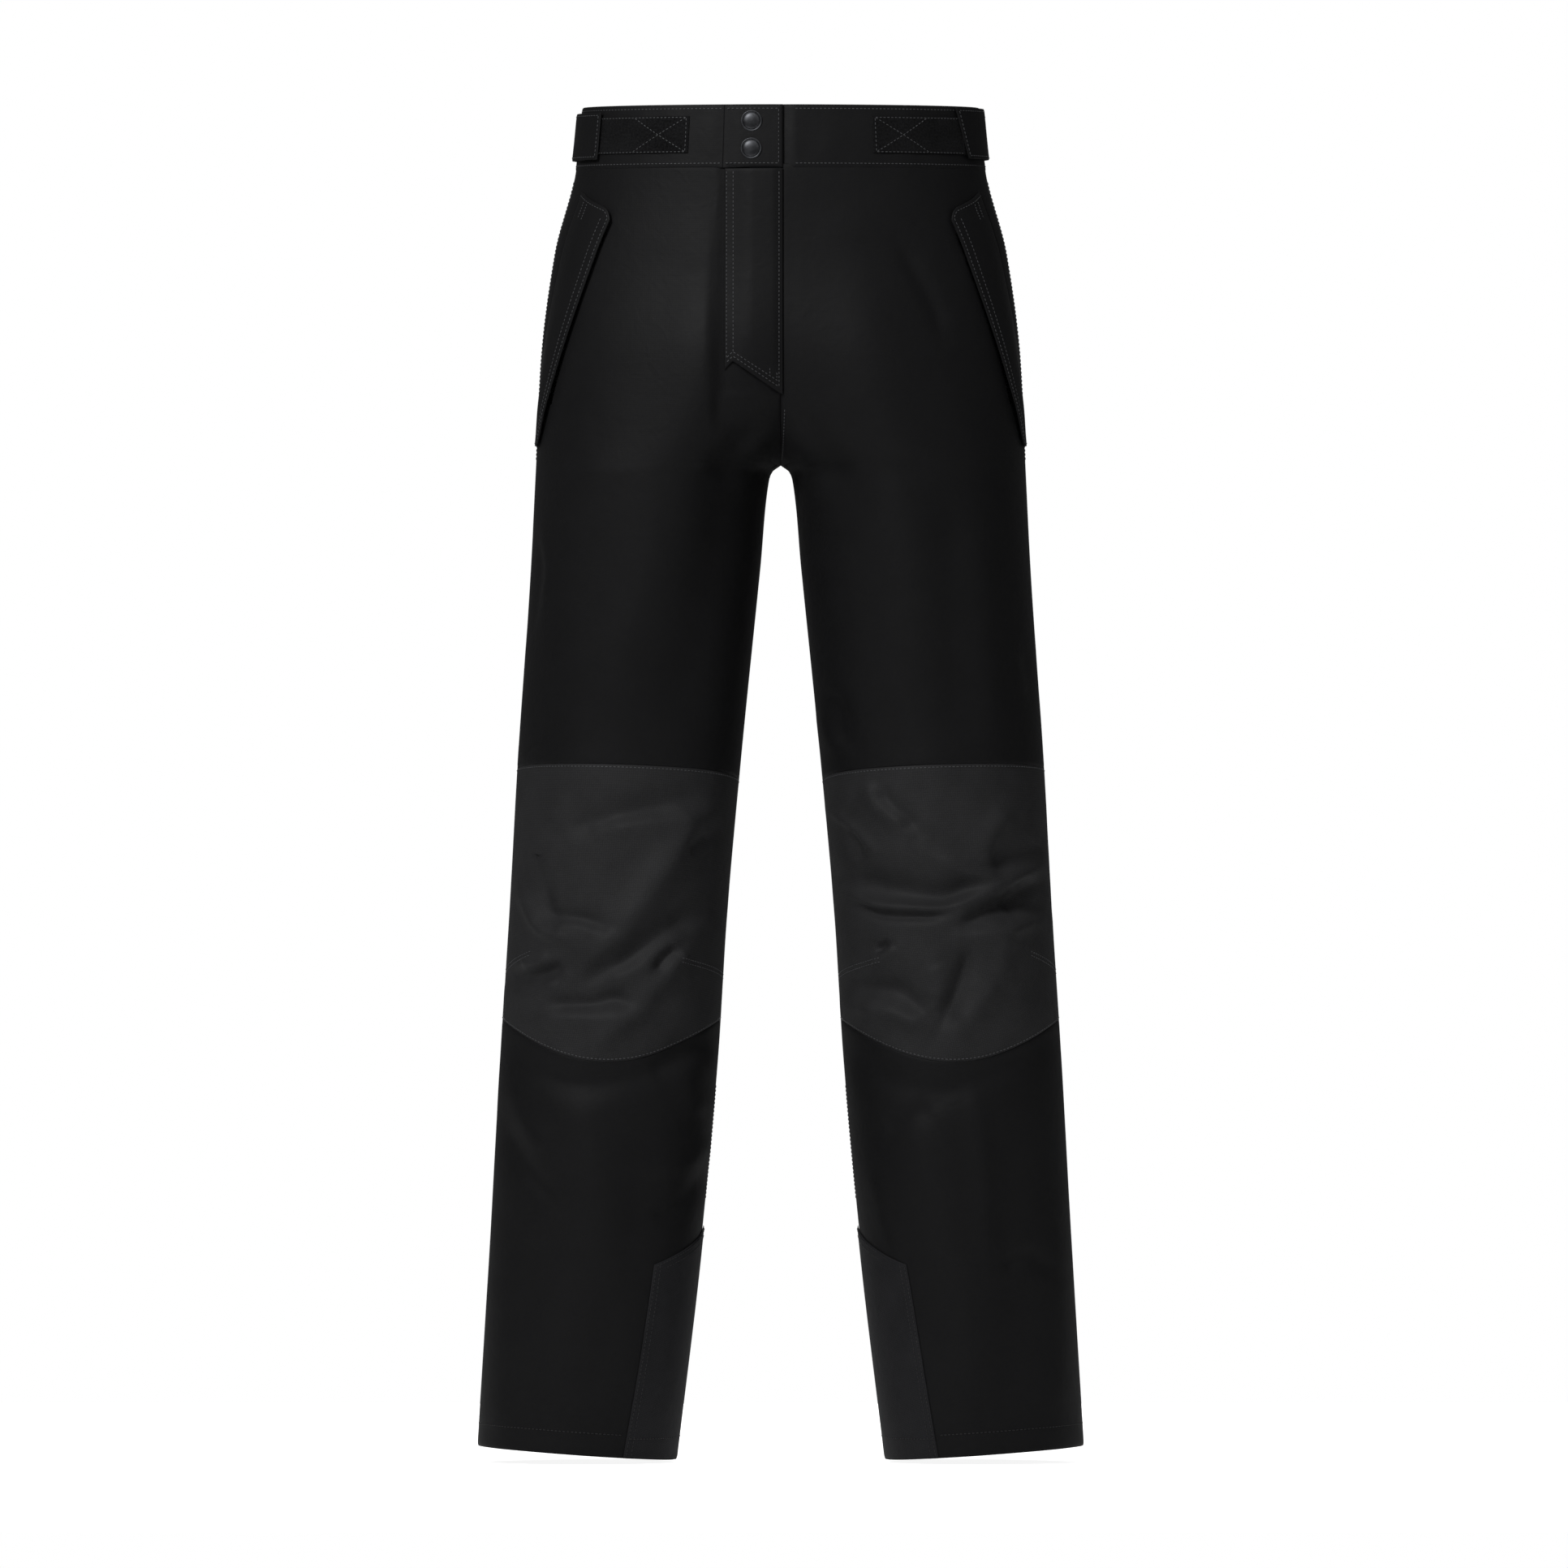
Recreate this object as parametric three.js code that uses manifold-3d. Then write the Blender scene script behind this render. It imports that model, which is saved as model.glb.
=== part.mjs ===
// Women's ski shell pants, standing open as if worn. Millimetres, +Z up, front towards -Y.
// The origin is the centre of the waist opening, at the waistband's top edge. "right" and "left" are the
// wearer's, so right is -X. Heights are given as a drop below the waistband's top edge.
//
// Each half of the shell is a run of ellipses, one at each drop. Round an ellipse the angle is 0 at the
// inseam, PI / 2 at the front, PI at the side seam and 3 PI / 2 at the back. Above the crotch the two halves
// meet at the centre plane, so each ellipse starts where it leaves that plane.
import * as THREE from "three";
import { mergeVertices } from "three/addons/utils/BufferGeometryUtils.js";
import Module from "manifold-3d";

const wasm = await Module();
wasm.setup();

// ---- Driving dimensions ----
const WAISTBAND_HEIGHT = 50;
const RISE = 282; // waistband top to crotch
const THIGH_LENGTH = 234; // crotch to the top of the knee panel
const KNEE_PANEL_LENGTH = 235;
const SHIN_LENGTH = 309; // bottom of the knee panel to the hem

const WAIST_WIDTH = 312;
const HIP_WIDTH = 378;
const SEAT_WIDTH = 386;
const THIGH_WIDTH = 181;
const KNEE_WIDTH = 172;
const CALF_WIDTH = 166;
const HEM_WIDTH = 157;

const WAIST_DEPTH = 192;
const HIP_DEPTH = 236;
const THIGH_DEPTH = 202;
const KNEE_DEPTH = 168;
const HEM_DEPTH = 154;

const LEG_GAP_THIGH = 32; // between the two legs
const LEG_GAP_KNEE = 84;
const LEG_GAP_HEM = 165;

const FABRIC = 1.2; // shell fabric and its lining
const SEAM_GAP = 0.4; // between two panels that are sewn together
const REST_GAP = 0.35; // between a piece and the face that it lies on
const LOOSE_GAP = 0.8; // between a loose flap and the shell

const WAISTBAND_THICKNESS = 2.2;
const WAISTBAND_PROUD = 0.4;

const WAIST_TO_HIGH_HIP = 65; // below the waistband
const HIGH_HIP_TO_HIP = 85;
const WAISTBAND_FLARE = 5.5; // how much further out the waistband's lower edge stands, each side
const HIGH_HIP_TAPER = 11; // how much further in the high hip stands than the hip, each side
const KNEE_TAPER = 4; // extra width at the top of the knee panel
const KNEE_GAP_ABOVE = 21; // how much closer the legs are at the top of the knee panels
const KNEE_GAP_BELOW = 15; // and how much further apart at the bottom
const CALF_GAP_LESS = 4; // calf gap below the even line from knee to hem
const KNEE_DART_DIP = 14; // knee panel's upper edge at the inseam, below its middle
const KNEE_SIDE_DIP = 5; // and at the side seam
const KNEE_BOTTOM_SAG = 32; // knee panel's lower edge at its middle, below its ends
const BACK_KNEE_ABOVE = 14; // back knee's upper edge above the knee panel's
const BACK_KNEE_BELOW = 9; // back knee's lower edge below the knee panel's

const CROTCH_ARCH = 14; // width of the opening just below the crotch
const SWING_START = 12; // crotch to the top of the zone where a leg bends at the groin
const SWING_LENGTH = 132;

const FLY_WIDTH = 45.5;
const FLY_LENGTH = 155; // below the waistband, at the fly's stitched side
const FLY_SLANT = 24; // how much lower the fly ends at its free edge
const FLY_OVERLAP = 1.5; // past the centre line
const FLY_BULGE = 2.8; // how far the flap stands off the zip
const FLY_ZIP_AT = 12; // zip's middle to the centre line
const FLY_ZIP_LENGTH = 128;
const FLY_ZIP_DROP = 2.1; // tape's face below the shell's outer face
const FLY_PULL_LENGTH = 22;

const SNAP_RADIUS = 8.3;
const SNAP_DOME = 2.2;
const SNAP_DROPS = [13, 34.6];
const SNAP_FROM_EDGE = 24; // snap's centre to the free end of the waistband tab
const SNAP_HOLE = 3.4;
const SNAP_POST_GAP = 0.35;
const SNAP_BULB = 1.6;
const SNAP_BULB_GAP = 0.5;
const STUD_RADIUS = 5.5;
const STUD_BASE = 0.6;
const TAB_LIFT = 1.4; // waistband tab above the rest of the band
const UNDERLAP_DIP = 2.4; // the band's other end, under the tab
const UNDERLAP_RAMP = 3; // degrees over which it dips

const TAPE_WIDTH = 26;
const TAPE_THICKNESS = 0.8;
const CHAIN_WIDTH = 5;
const CHAIN_THICKNESS = 1.2;
const TOOTH_PITCH = 4;
const TOOTH_NOTCH = 0.7;
const SLIDER_LENGTH = 11;
const SLIDER_WIDTH = 9;
const SLIDER_FLANGE = 1.4;
const SLIDER_PLATE = 0.8;
const POST_RADIUS = 0.9;
const PULL_WIDTH = 4.6;
const PULL_THICKNESS = 0.9;
const RUN_GAP = 0.35; // between a slider and its chain, and between a pull and its post

const POCKET_TOP = 83; // drop of the flap's upper corner at its free edge
const POCKET_TOP_SLANT = 16; // how much higher it ends at its sewn edge
const POCKET_BOTTOM = 267;
const POCKET_EDGE_TOP = 0.757; // free edge's place across the front, as a share of the half width
const POCKET_EDGE_BOTTOM = 0.985;
const POCKET_SEWN_TOP = 161; // sewn edge's turn round the shell, in degrees
const POCKET_SEWN_BOTTOM = 176;
const POCKET_LIFT = 3.2; // free edge above the shell
const POCKET_ZIP_TOP = 100; // drop of the zip's upper end
const POCKET_ZIP_BOTTOM = 232;
const POCKET_ZIP_BEHIND = 7; // zip's middle behind the flap's free edge
const POCKET_ZIP_DROP = 2.4;
const POCKET_SLIDER_AT = 12; // zip's upper end to the slider
const POCKET_PULL_LENGTH = 26;
const SLOT_SIDE = 2; // beside a slider, in the pocket's slot
const FLAP_THICKNESS = 1.4;
const BAG_DEPTH = 168;
const BAG_FROM = 112; // turn round the shell, in degrees
const BAG_TO = 160;
const BAG_FABRIC = 1.2;

const STRAP_TOP = 5;
const STRAP_HEIGHT = 37;
const STRAP_THICKNESS = 1.4;
const STRAP_END = 118; // turns from the centre front, in degrees
const STRAP_HINGE = 85;
const STRAP_FRONT = 62;
const HOOK_THICKNESS = 0.8;
const PAD_TOP = 9;
const PAD_HEIGHT = 29;
const PAD_FRONT = 27;
const PAD_THICKNESS = 1;

const PATCH_HEIGHT = 152; // kick patch at its front corner, above the hem
const PATCH_POINT = 32; // how much higher it reaches at the inseam
const PATCH_TURN_TOP = 55; // how far round from the inseam, in degrees
const PATCH_TURN_BOTTOM = 62;
const PATCH_THICKNESS = 1;
const HEM_SLOPE = 4; // degrees: the hem is square to the leg, which stands a little outward

const GAITER_LENGTH = 150;
const GAITER_TAKE_IN = 20;
const GAITER_FABRIC = 0.8;
const GAITER_ABOVE_HEM = 24;

const DEG = Math.PI / 180;
const HALF_TURN = Math.PI;
const HIP_FACETS = 18; // round half a leg
const LEG_FACETS = 12;
const FINE_TURN = 4 * DEG; // facets of a piece that lies on another

// ---- Heights that follow from them ----
const HIGH_HIP = WAISTBAND_HEIGHT + WAIST_TO_HIGH_HIP;
const HIP = HIGH_HIP + HIGH_HIP_TO_HIP;
const SWING_TOP = RISE + SWING_START;
const SWING_BOTTOM = SWING_TOP + SWING_LENGTH;
const THIGH = RISE + 81;
const KNEE_TOP = RISE + THIGH_LENGTH;
const KNEE = KNEE_TOP + KNEE_PANEL_LENGTH / 2;
const KNEE_BOTTOM = KNEE_TOP + KNEE_PANEL_LENGTH;
const HEM = KNEE_BOTTOM + SHIN_LENGTH;
const CALF = (KNEE_BOTTOM + HEM) / 2;

// ---- The shell's form ----

// A smooth curve through [place, value] pairs that never overshoots them.
function profile(points) {
  const slopes = points.slice(1).map(([x, y], i) => (y - points[i][1]) / (x - points[i][0]));
  const tangents = points.map((_, i) => {
    if (i === 0 || i === points.length - 1) return slopes[Math.min(i, slopes.length - 1)];
    const [before, after] = [slopes[i - 1], slopes[i]];
    return before * after <= 0 ? 0 : (2 * before * after) / (before + after);
  });
  return (x) => {
    const i = Math.max(0, Math.min(points.length - 2, points.findIndex((p) => p[0] > x) - 1));
    const k = x >= points[points.length - 1][0] ? points.length - 2 : i;
    const span = points[k + 1][0] - points[k][0];
    const t = (x - points[k][0]) / span;
    const [t2, t3] = [t * t, t * t * t];
    return (
      points[k][1] * (2 * t3 - 3 * t2 + 1) +
      tangents[k] * span * (t3 - 2 * t2 + t) +
      points[k + 1][1] * (3 * t2 - 2 * t3) +
      tangents[k + 1] * span * (t3 - t2)
    );
  };
}

const legOuter = (gap, width) => gap / 2 + width;
const legCentre = (gap, width) => gap / 2 + width / 2;
const GAP_KNEE_TOP = LEG_GAP_KNEE - KNEE_GAP_ABOVE;
const GAP_KNEE_BOTTOM = LEG_GAP_KNEE + KNEE_GAP_BELOW;
const GAP_CALF = (GAP_KNEE_BOTTOM + LEG_GAP_HEM) / 2 - CALF_GAP_LESS;

const halfWidth = profile([
  [0, WAIST_WIDTH / 2],
  [WAISTBAND_HEIGHT, WAIST_WIDTH / 2 + WAISTBAND_FLARE],
  [HIGH_HIP, HIP_WIDTH / 2 - HIGH_HIP_TAPER],
  [HIP, HIP_WIDTH / 2],
  [RISE, SEAT_WIDTH / 2],
  [THIGH, legOuter(LEG_GAP_THIGH, THIGH_WIDTH)],
  [KNEE_TOP, legOuter(GAP_KNEE_TOP, KNEE_WIDTH + KNEE_TAPER)],
  [KNEE, legOuter(LEG_GAP_KNEE, KNEE_WIDTH)],
  [KNEE_BOTTOM, legOuter(GAP_KNEE_BOTTOM, KNEE_WIDTH)],
  [CALF, legOuter(GAP_CALF, CALF_WIDTH)],
  [HEM, legOuter(LEG_GAP_HEM, HEM_WIDTH)],
]);
const centre = profile([
  [0, 0],
  [WAISTBAND_HEIGHT, 0],
  [HIGH_HIP, 10],
  [HIP, 45],
  [RISE - 32, 75],
  [RISE, SEAT_WIDTH / 4],
  [RISE + 5, SEAT_WIDTH / 4 + CROTCH_ARCH / 4],
  [SWING_TOP, SEAT_WIDTH / 4 + CROTCH_ARCH / 4 + 1.4],
  [THIGH, legCentre(LEG_GAP_THIGH, THIGH_WIDTH)],
  [KNEE_TOP, legCentre(GAP_KNEE_TOP, KNEE_WIDTH + KNEE_TAPER)],
  [KNEE, legCentre(LEG_GAP_KNEE, KNEE_WIDTH)],
  [KNEE_BOTTOM, legCentre(GAP_KNEE_BOTTOM, KNEE_WIDTH)],
  [CALF, legCentre(GAP_CALF, CALF_WIDTH)],
  [HEM, legCentre(LEG_GAP_HEM, HEM_WIDTH)],
]);
const frontDepth = profile([
  [0, WAIST_DEPTH / 2 - 4],
  [WAISTBAND_HEIGHT, WAIST_DEPTH / 2],
  [HIGH_HIP, WAIST_DEPTH / 2 + 4],
  [HIP, HIP_DEPTH / 2 - 10],
  [RISE, HIP_DEPTH / 2 - 14],
  [THIGH, THIGH_DEPTH / 2 - 3],
  [KNEE_TOP, KNEE_DEPTH / 2 + 4],
  [KNEE, KNEE_DEPTH / 2 + 4],
  [KNEE_BOTTOM, KNEE_DEPTH / 2 - 4],
  [CALF, HEM_DEPTH / 2],
  [HEM, HEM_DEPTH / 2 - 1],
]);
const backDepth = profile([
  [0, WAIST_DEPTH / 2 + 4],
  [WAISTBAND_HEIGHT, WAIST_DEPTH / 2 + 8],
  [HIGH_HIP, HIP_DEPTH / 2],
  [HIP, HIP_DEPTH / 2 + 10],
  [RISE, HIP_DEPTH / 2 + 2],
  [THIGH, THIGH_DEPTH / 2 + 3],
  [KNEE_TOP, KNEE_DEPTH / 2 + 4],
  [KNEE, KNEE_DEPTH / 2 - 4],
  [KNEE_BOTTOM, KNEE_DEPTH / 2],
  [CALF, HEM_DEPTH / 2 + 7],
  [HEM, HEM_DEPTH / 2 + 1],
]);

// A point of the shell, pushed out from its outer face by off. sign is -1 for the right half and 1 for the left.
function skin(sign, angle, drop, off = 0) {
  const middle = centre(drop);
  const across = halfWidth(drop) - middle;
  const deep = Math.sin(angle) >= 0 ? frontDepth(drop) : backDepth(drop);
  const out = new THREE.Vector2(-Math.cos(angle) / across, -Math.sin(angle) / deep).normalize();
  const x = middle - across * Math.cos(angle) + off * out.x;
  const y = -deep * Math.sin(angle) + off * out.y;
  return new THREE.Vector3(sign * x, y, -drop);
}

// Where a half's ellipse leaves the centre plane, or its inseam below the crotch.
function inner(drop) {
  const middle = centre(drop);
  const across = halfWidth(drop) - middle;
  const meets = Math.acos(Math.min(1, (middle - SEAM_GAP / 2) / across));
  return Math.max(meets, SEAM_GAP / 2 / frontDepth(drop));
}

const side = (drop) => HALF_TURN - SEAM_GAP / 2 / frontDepth(drop);

// A point of the shell near the centre front, by its place across, pushed straight forward by off.
function front(x, drop, off = 0) {
  const middle = centre(drop);
  const across = halfWidth(drop) - middle;
  const angle = Math.acos((middle - Math.abs(x)) / across);
  return new THREE.Vector3(x, -frontDepth(drop) * Math.sin(angle) - off, -drop);
}

// A point of the waistband by its turn from the centre front, growing towards the wearer's left.
function round(turn, drop, off) {
  const near = turn > HALF_TURN ? turn - 2 * HALF_TURN : turn;
  return skin(near < 0 ? -1 : 1, HALF_TURN / 2 + Math.abs(near), drop, off);
}

// The turn at which the shell's front comes nearest to a point of the same height.
function nearest(sign, point) {
  let [low, high] = [HALF_TURN / 2, HALF_TURN];
  const far = (angle) => skin(sign, angle, -point.z).distanceTo(point);
  while (high - low > 1e-6) {
    const [a, b] = [low + (high - low) / 3, high - (high - low) / 3];
    if (far(a) < far(b)) high = b;
    else low = a;
  }
  return (low + high) / 2;
}

// ---- Solids ----
const lerp = THREE.MathUtils.lerp;
const shares = (count) => Array.from({ length: count + 1 }, (_, i) => i / count);
const spread = (from, to, step) => {
  const count = Math.max(1, Math.ceil(Math.abs(to - from) / step));
  return shares(count).map((t) => lerp(from, to, t));
};

// A closed sheet between two grids of points. With ring, its last column is its first again.
function sheet(us, vs, outerAt, innerAt, ring = false) {
  const columns = ring ? us.slice(0, -1) : us;
  const points = [outerAt, innerAt].flatMap((at) => columns.flatMap((u) => vs.map((v) => at(u, v))));
  const layer = columns.length * vs.length;
  const id = (i, j, k) => (i % columns.length) * vs.length + j + k * layer;
  const faces = [];
  const quad = (a, b, c, d) => faces.push(a, b, c, a, c, d);
  const [right, bottom] = [us.length - 1, vs.length - 1];
  for (let i = 0; i < right; i++) {
    for (let j = 0; j < bottom; j++) {
      quad(id(i, j, 0), id(i + 1, j, 0), id(i + 1, j + 1, 0), id(i, j + 1, 0));
      quad(id(i, j, 1), id(i, j + 1, 1), id(i + 1, j + 1, 1), id(i + 1, j, 1));
    }
    quad(id(i, 0, 0), id(i, 0, 1), id(i + 1, 0, 1), id(i + 1, 0, 0));
    quad(id(i, bottom, 0), id(i + 1, bottom, 0), id(i + 1, bottom, 1), id(i, bottom, 1));
  }
  for (let j = 0; j < bottom && !ring; j++) {
    quad(id(0, j, 0), id(0, j + 1, 0), id(0, j + 1, 1), id(0, j, 1));
    quad(id(right, j, 0), id(right, j, 1), id(right, j + 1, 1), id(right, j + 1, 0));
  }
  return outward(new THREE.BufferGeometry().setFromPoints(points).setIndex(faces));
}

// Turns a closed geometry's faces round if they point inwards.
function outward(geometry) {
  const at = geometry.getAttribute("position");
  const index = geometry.index.array;
  const corner = (i) => new THREE.Vector3().fromBufferAttribute(at, index[i]);
  let volume = 0;
  for (let i = 0; i < index.length; i += 3) {
    volume += corner(i).dot(corner(i + 1).cross(corner(i + 2)));
  }
  for (let i = 0; i < index.length && volume < 0; i += 3) {
    [index[i + 1], index[i + 2]] = [index[i + 2], index[i + 1]];
  }
  return geometry;
}

function solid(geometry) {
  const bare = geometry.clone().deleteAttribute("normal").deleteAttribute("uv");
  const merged = mergeVertices(bare, 1e-3);
  return new wasm.Manifold(
    new wasm.Mesh({
      numProp: 3,
      vertProperties: merged.getAttribute("position").array,
      triVerts: new Uint32Array(merged.index.array),
    }),
  );
}

function fromSolid(made) {
  const { vertProperties, triVerts } = made.getMesh();
  return new THREE.BufferGeometry()
    .setAttribute("position", new THREE.BufferAttribute(vertProperties, 3))
    .setIndex(new THREE.BufferAttribute(triVerts, 1));
}

const cut = (geometry, ...tools) =>
  fromSolid(tools.reduce((rest, tool) => rest.subtract(solid(tool)), solid(geometry)));
const join = (...pieces) => fromSolid(pieces.map(solid).reduce((all, next) => all.add(next)));
const box = (width, depth, height, x, y, z) =>
  new THREE.BoxGeometry(width, depth, height).translate(x, y, z);

// ---- Materials ----
const finish = (color, roughness, metalness = 0) =>
  new THREE.MeshStandardMaterial({ color, roughness, metalness });
const MATERIALS = {
  shell: finish("#17181a", 0.7),
  reinforcement: finish("#2e2f31", 0.75),
  lining: finish("#26282b", 0.85),
  loop: finish("#0d0d0e", 0.95),
  hook: finish("#101011", 0.6),
  metal: finish("#55575a", 0.3, 1),
  tape: finish("#141416", 0.9),
  plastic: finish("#1b1b1d", 0.45),
};

const pants = new THREE.Group();
const SIDES = [
  { name: "right", sign: -1 },
  { name: "left", sign: 1 },
];

function add(name, geometry, material, parent = pants) {
  const mesh = new THREE.Mesh(geometry, MATERIALS[material]);
  mesh.name = name;
  parent.add(mesh);
  return mesh;
}

// A group at a point of a face, its z up along the face and its y straight out of it.
function stand(at, up, out) {
  const [z, y] = [up.clone().normalize(), out.clone()];
  y.addScaledVector(z, -y.dot(z)).normalize();
  const group = new THREE.Group();
  group.applyMatrix4(new THREE.Matrix4().makeBasis(y.clone().cross(z), y, z).setPosition(at));
  pants.add(group);
  return group;
}

// ---- Shell panels ----

// A panel between two turns, from a top edge to a bottom edge, each given by the share across.
function panel(sign, from, to, top, bottom, across, down, atHem = false) {
  const place = (off) => (u, v) => {
    const drop = lerp(top(u) + SEAM_GAP / 2, bottom(u) - (atHem ? 0 : SEAM_GAP / 2), v);
    const point = skin(sign, lerp(from(drop), to(drop), u), drop, off);
    return atHem && v === 1 ? onHem(point) : point;
  };
  return sheet(shares(across), down, place(0), place(-FABRIC));
}

const level = (drop) => () => drop;
const kneeTop = (u) => KNEE_TOP + KNEE_DART_DIP * Math.pow(1 - u, 3) + KNEE_SIDE_DIP * Math.pow(u, 6);
const kneeBottom = (u) => KNEE_BOTTOM - KNEE_BOTTOM_SAG * Math.pow(Math.cos(HALF_TURN * u), 2);
const kneeTopBack = level(KNEE_TOP - BACK_KNEE_ABOVE);
const kneeBottomBack = level(KNEE_BOTTOM + BACK_KNEE_BELOW);

// The hem is a plane square to the leg, lower at the inseam than at the side seam.
const HEM_CENTRE = centre(HEM);
const hemDrop = (x) => HEM + Math.tan(HEM_SLOPE * DEG) * (HEM_CENTRE - Math.abs(x));
const onHem = (point) => point.setZ(-hemDrop(point.x));
const hemFront = (u) => hemDrop(HEM_CENTRE - (HEM_WIDTH / 2) * Math.cos(HALF_TURN * u));
const hemBack = (u) => hemFront(1 - u);

const backFrom = (drop) => 2 * HALF_TURN - side(drop);
const backTo = (drop) => 2 * HALF_TURN - inner(drop);

// Rows close together where the two halves part at the crotch.
const CROTCH_SHARE = (RISE - WAISTBAND_HEIGHT) / (SWING_TOP - WAISTBAND_HEIGHT);
const HIP_ROWS = [...[0, 0.19, 0.38, 0.57, 0.73, 0.86, 0.95].map((t) => t * CROTCH_SHARE), CROTCH_SHARE, 1];

// The right front is cut away between the centre line and its half of the fly zip.
function flyWindow() {
  const [left, right] = [-2 * FLY_ZIP_AT, SEAM_GAP];
  const bottom = -WAISTBAND_HEIGHT - FLY_ZIP_LENGTH - FLY_SLANT / 4;
  const corners = [[left, 0], [right, 0], [right, bottom], [left, bottom]];
  const outline = new THREE.Shape(corners.map(([x, y]) => new THREE.Vector2(x, y)));
  return new THREE.ExtrudeGeometry(outline, { depth: HIP_DEPTH, bevelEnabled: false }).rotateX(HALF_TURN / 2);
}

function shell({ name, sign }, slot) {
  const front = (top, bottom, facets, rows, atHem) =>
    panel(sign, inner, side, top, bottom, facets, rows, atHem);
  const back = (top, bottom, facets, rows, atHem) =>
    panel(sign, backFrom, backTo, top, bottom, facets, rows, atHem);
  const [waist, groin, thigh] = [level(WAISTBAND_HEIGHT), level(SWING_TOP), level(SWING_BOTTOM)];
  const tools = sign < 0 ? [slot, flyWindow()] : [slot];
  add(`${name}_front_hip`, cut(front(waist, groin, HIP_FACETS, HIP_ROWS), ...tools), "shell");
  add(`${name}_front_groin`, front(groin, thigh, LEG_FACETS, shares(4)), "shell");
  add(`${name}_front_thigh`, front(thigh, kneeTop, LEG_FACETS, shares(3)), "shell");
  add(`${name}_knee_panel`, front(kneeTop, kneeBottom, LEG_FACETS, shares(4)), "reinforcement");
  add(`${name}_front_shin`, front(kneeBottom, hemFront, LEG_FACETS, shares(5), true), "shell");
  add(`${name}_back_hip`, back(waist, groin, HIP_FACETS, HIP_ROWS), "shell");
  add(`${name}_back_groin`, back(groin, thigh, LEG_FACETS, shares(4)), "shell");
  add(`${name}_back_thigh`, back(thigh, kneeTopBack, LEG_FACETS, shares(3)), "shell");
  add(`${name}_back_knee`, back(kneeTopBack, kneeBottomBack, LEG_FACETS, shares(4)), "shell");
  add(`${name}_back_shin`, back(kneeBottomBack, hemBack, LEG_FACETS, shares(5), true), "shell");
}

// A tougher patch over the inner ankle, wrapped from the front round the inseam to the back.
function kickPatch(sign) {
  const [low, high] = [REST_GAP, REST_GAP + PATCH_THICKNESS];
  const place = (off) => (u, v) => {
    const rise = PATCH_HEIGHT + PATCH_POINT * (1 - Math.abs(u));
    const hem = hemDrop(HEM_CENTRE - (HEM_WIDTH / 2) * Math.cos(u)) - REST_GAP;
    const turn = u * lerp(PATCH_TURN_TOP, PATCH_TURN_BOTTOM, v) * DEG;
    return skin(sign, turn < 0 ? turn + 2 * HALF_TURN : turn, lerp(hem - rise, hem, v), off);
  };
  return sheet(spread(-1, 1, 0.125), shares(3), place(high), place(low));
}

// A sleeve inside the shin, sewn on at its top and drawn in below to close round a boot.
function gaiter(sign) {
  const bottom = HEM - GAITER_ABOVE_HEM;
  const place = (off) => (u, v) => {
    const takeIn = FABRIC + REST_GAP + GAITER_TAKE_IN * Math.pow(v, 0.7);
    return skin(sign, 2 * HALF_TURN * u, lerp(bottom - GAITER_LENGTH, bottom, v), off - takeIn);
  };
  return sheet(shares(2 * LEG_FACETS), shares(2), place(0), place(-GAITER_FABRIC), true);
}

// ---- Waistband ----
const BAND_OUT = WAISTBAND_PROUD;
const BAND_IN = WAISTBAND_PROUD - WAISTBAND_THICKNESS;
const TAB_OUT = BAND_OUT + TAB_LIFT;
const turnAt = (x) => Math.asin(x / (WAIST_WIDTH / 2));
const TAB_START = turnAt(FLY_OVERLAP - FLY_WIDTH);
const TAB_END = turnAt(FLY_OVERLAP);
const SIDE_TURN = HALF_TURN / 2;
const EDGE_TURN = SEAM_GAP / WAIST_WIDTH;

// A length of the band, its outer face off the shell by a rule of its own.
function band(turns, rule, top, bottom, thickness) {
  const place = (less) => (turn, v) => round(turn, lerp(top, bottom, v), rule(turn) - less);
  return sheet(turns, shares(2), place(0), place(thickness));
}

const fullBand = (turns, rule) => band(turns, rule, 0, WAISTBAND_HEIGHT - SEAM_GAP / 2, WAISTBAND_THICKNESS);

function waistband() {
  const flat = () => BAND_OUT;
  const rightTurns = spread(-SIDE_TURN + EDGE_TURN, TAB_START - 2 * EDGE_TURN, 2 * FINE_TURN);
  add("waistband_front_right", fullBand(rightTurns, flat), "shell");
  const rampEnd = TAB_END + UNDERLAP_RAMP * DEG;
  const dipEnd = TAB_END + 2 * EDGE_TURN;
  const dip = (turn) => THREE.MathUtils.clamp((rampEnd - turn) / (rampEnd - dipEnd), 0, 1);
  const leftTurns = [
    ...spread(TAB_START * 0.9, dipEnd, FINE_TURN),
    ...spread(rampEnd, SIDE_TURN - EDGE_TURN, 2 * FINE_TURN),
  ];
  add("waistband_front_left", fullBand(leftTurns, (turn) => BAND_OUT - UNDERLAP_DIP * dip(turn)), "shell");
  const backTurns = spread(SIDE_TURN + EDGE_TURN, 3 * SIDE_TURN - EDGE_TURN, 2 * FINE_TURN);
  add("waistband_back", fullBand(backTurns, flat), "shell");
}

// ---- Snaps ----
const lathe = (points) => outward(new THREE.LatheGeometry(points.map(([r, y]) => new THREE.Vector2(r, y)), 18));

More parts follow.
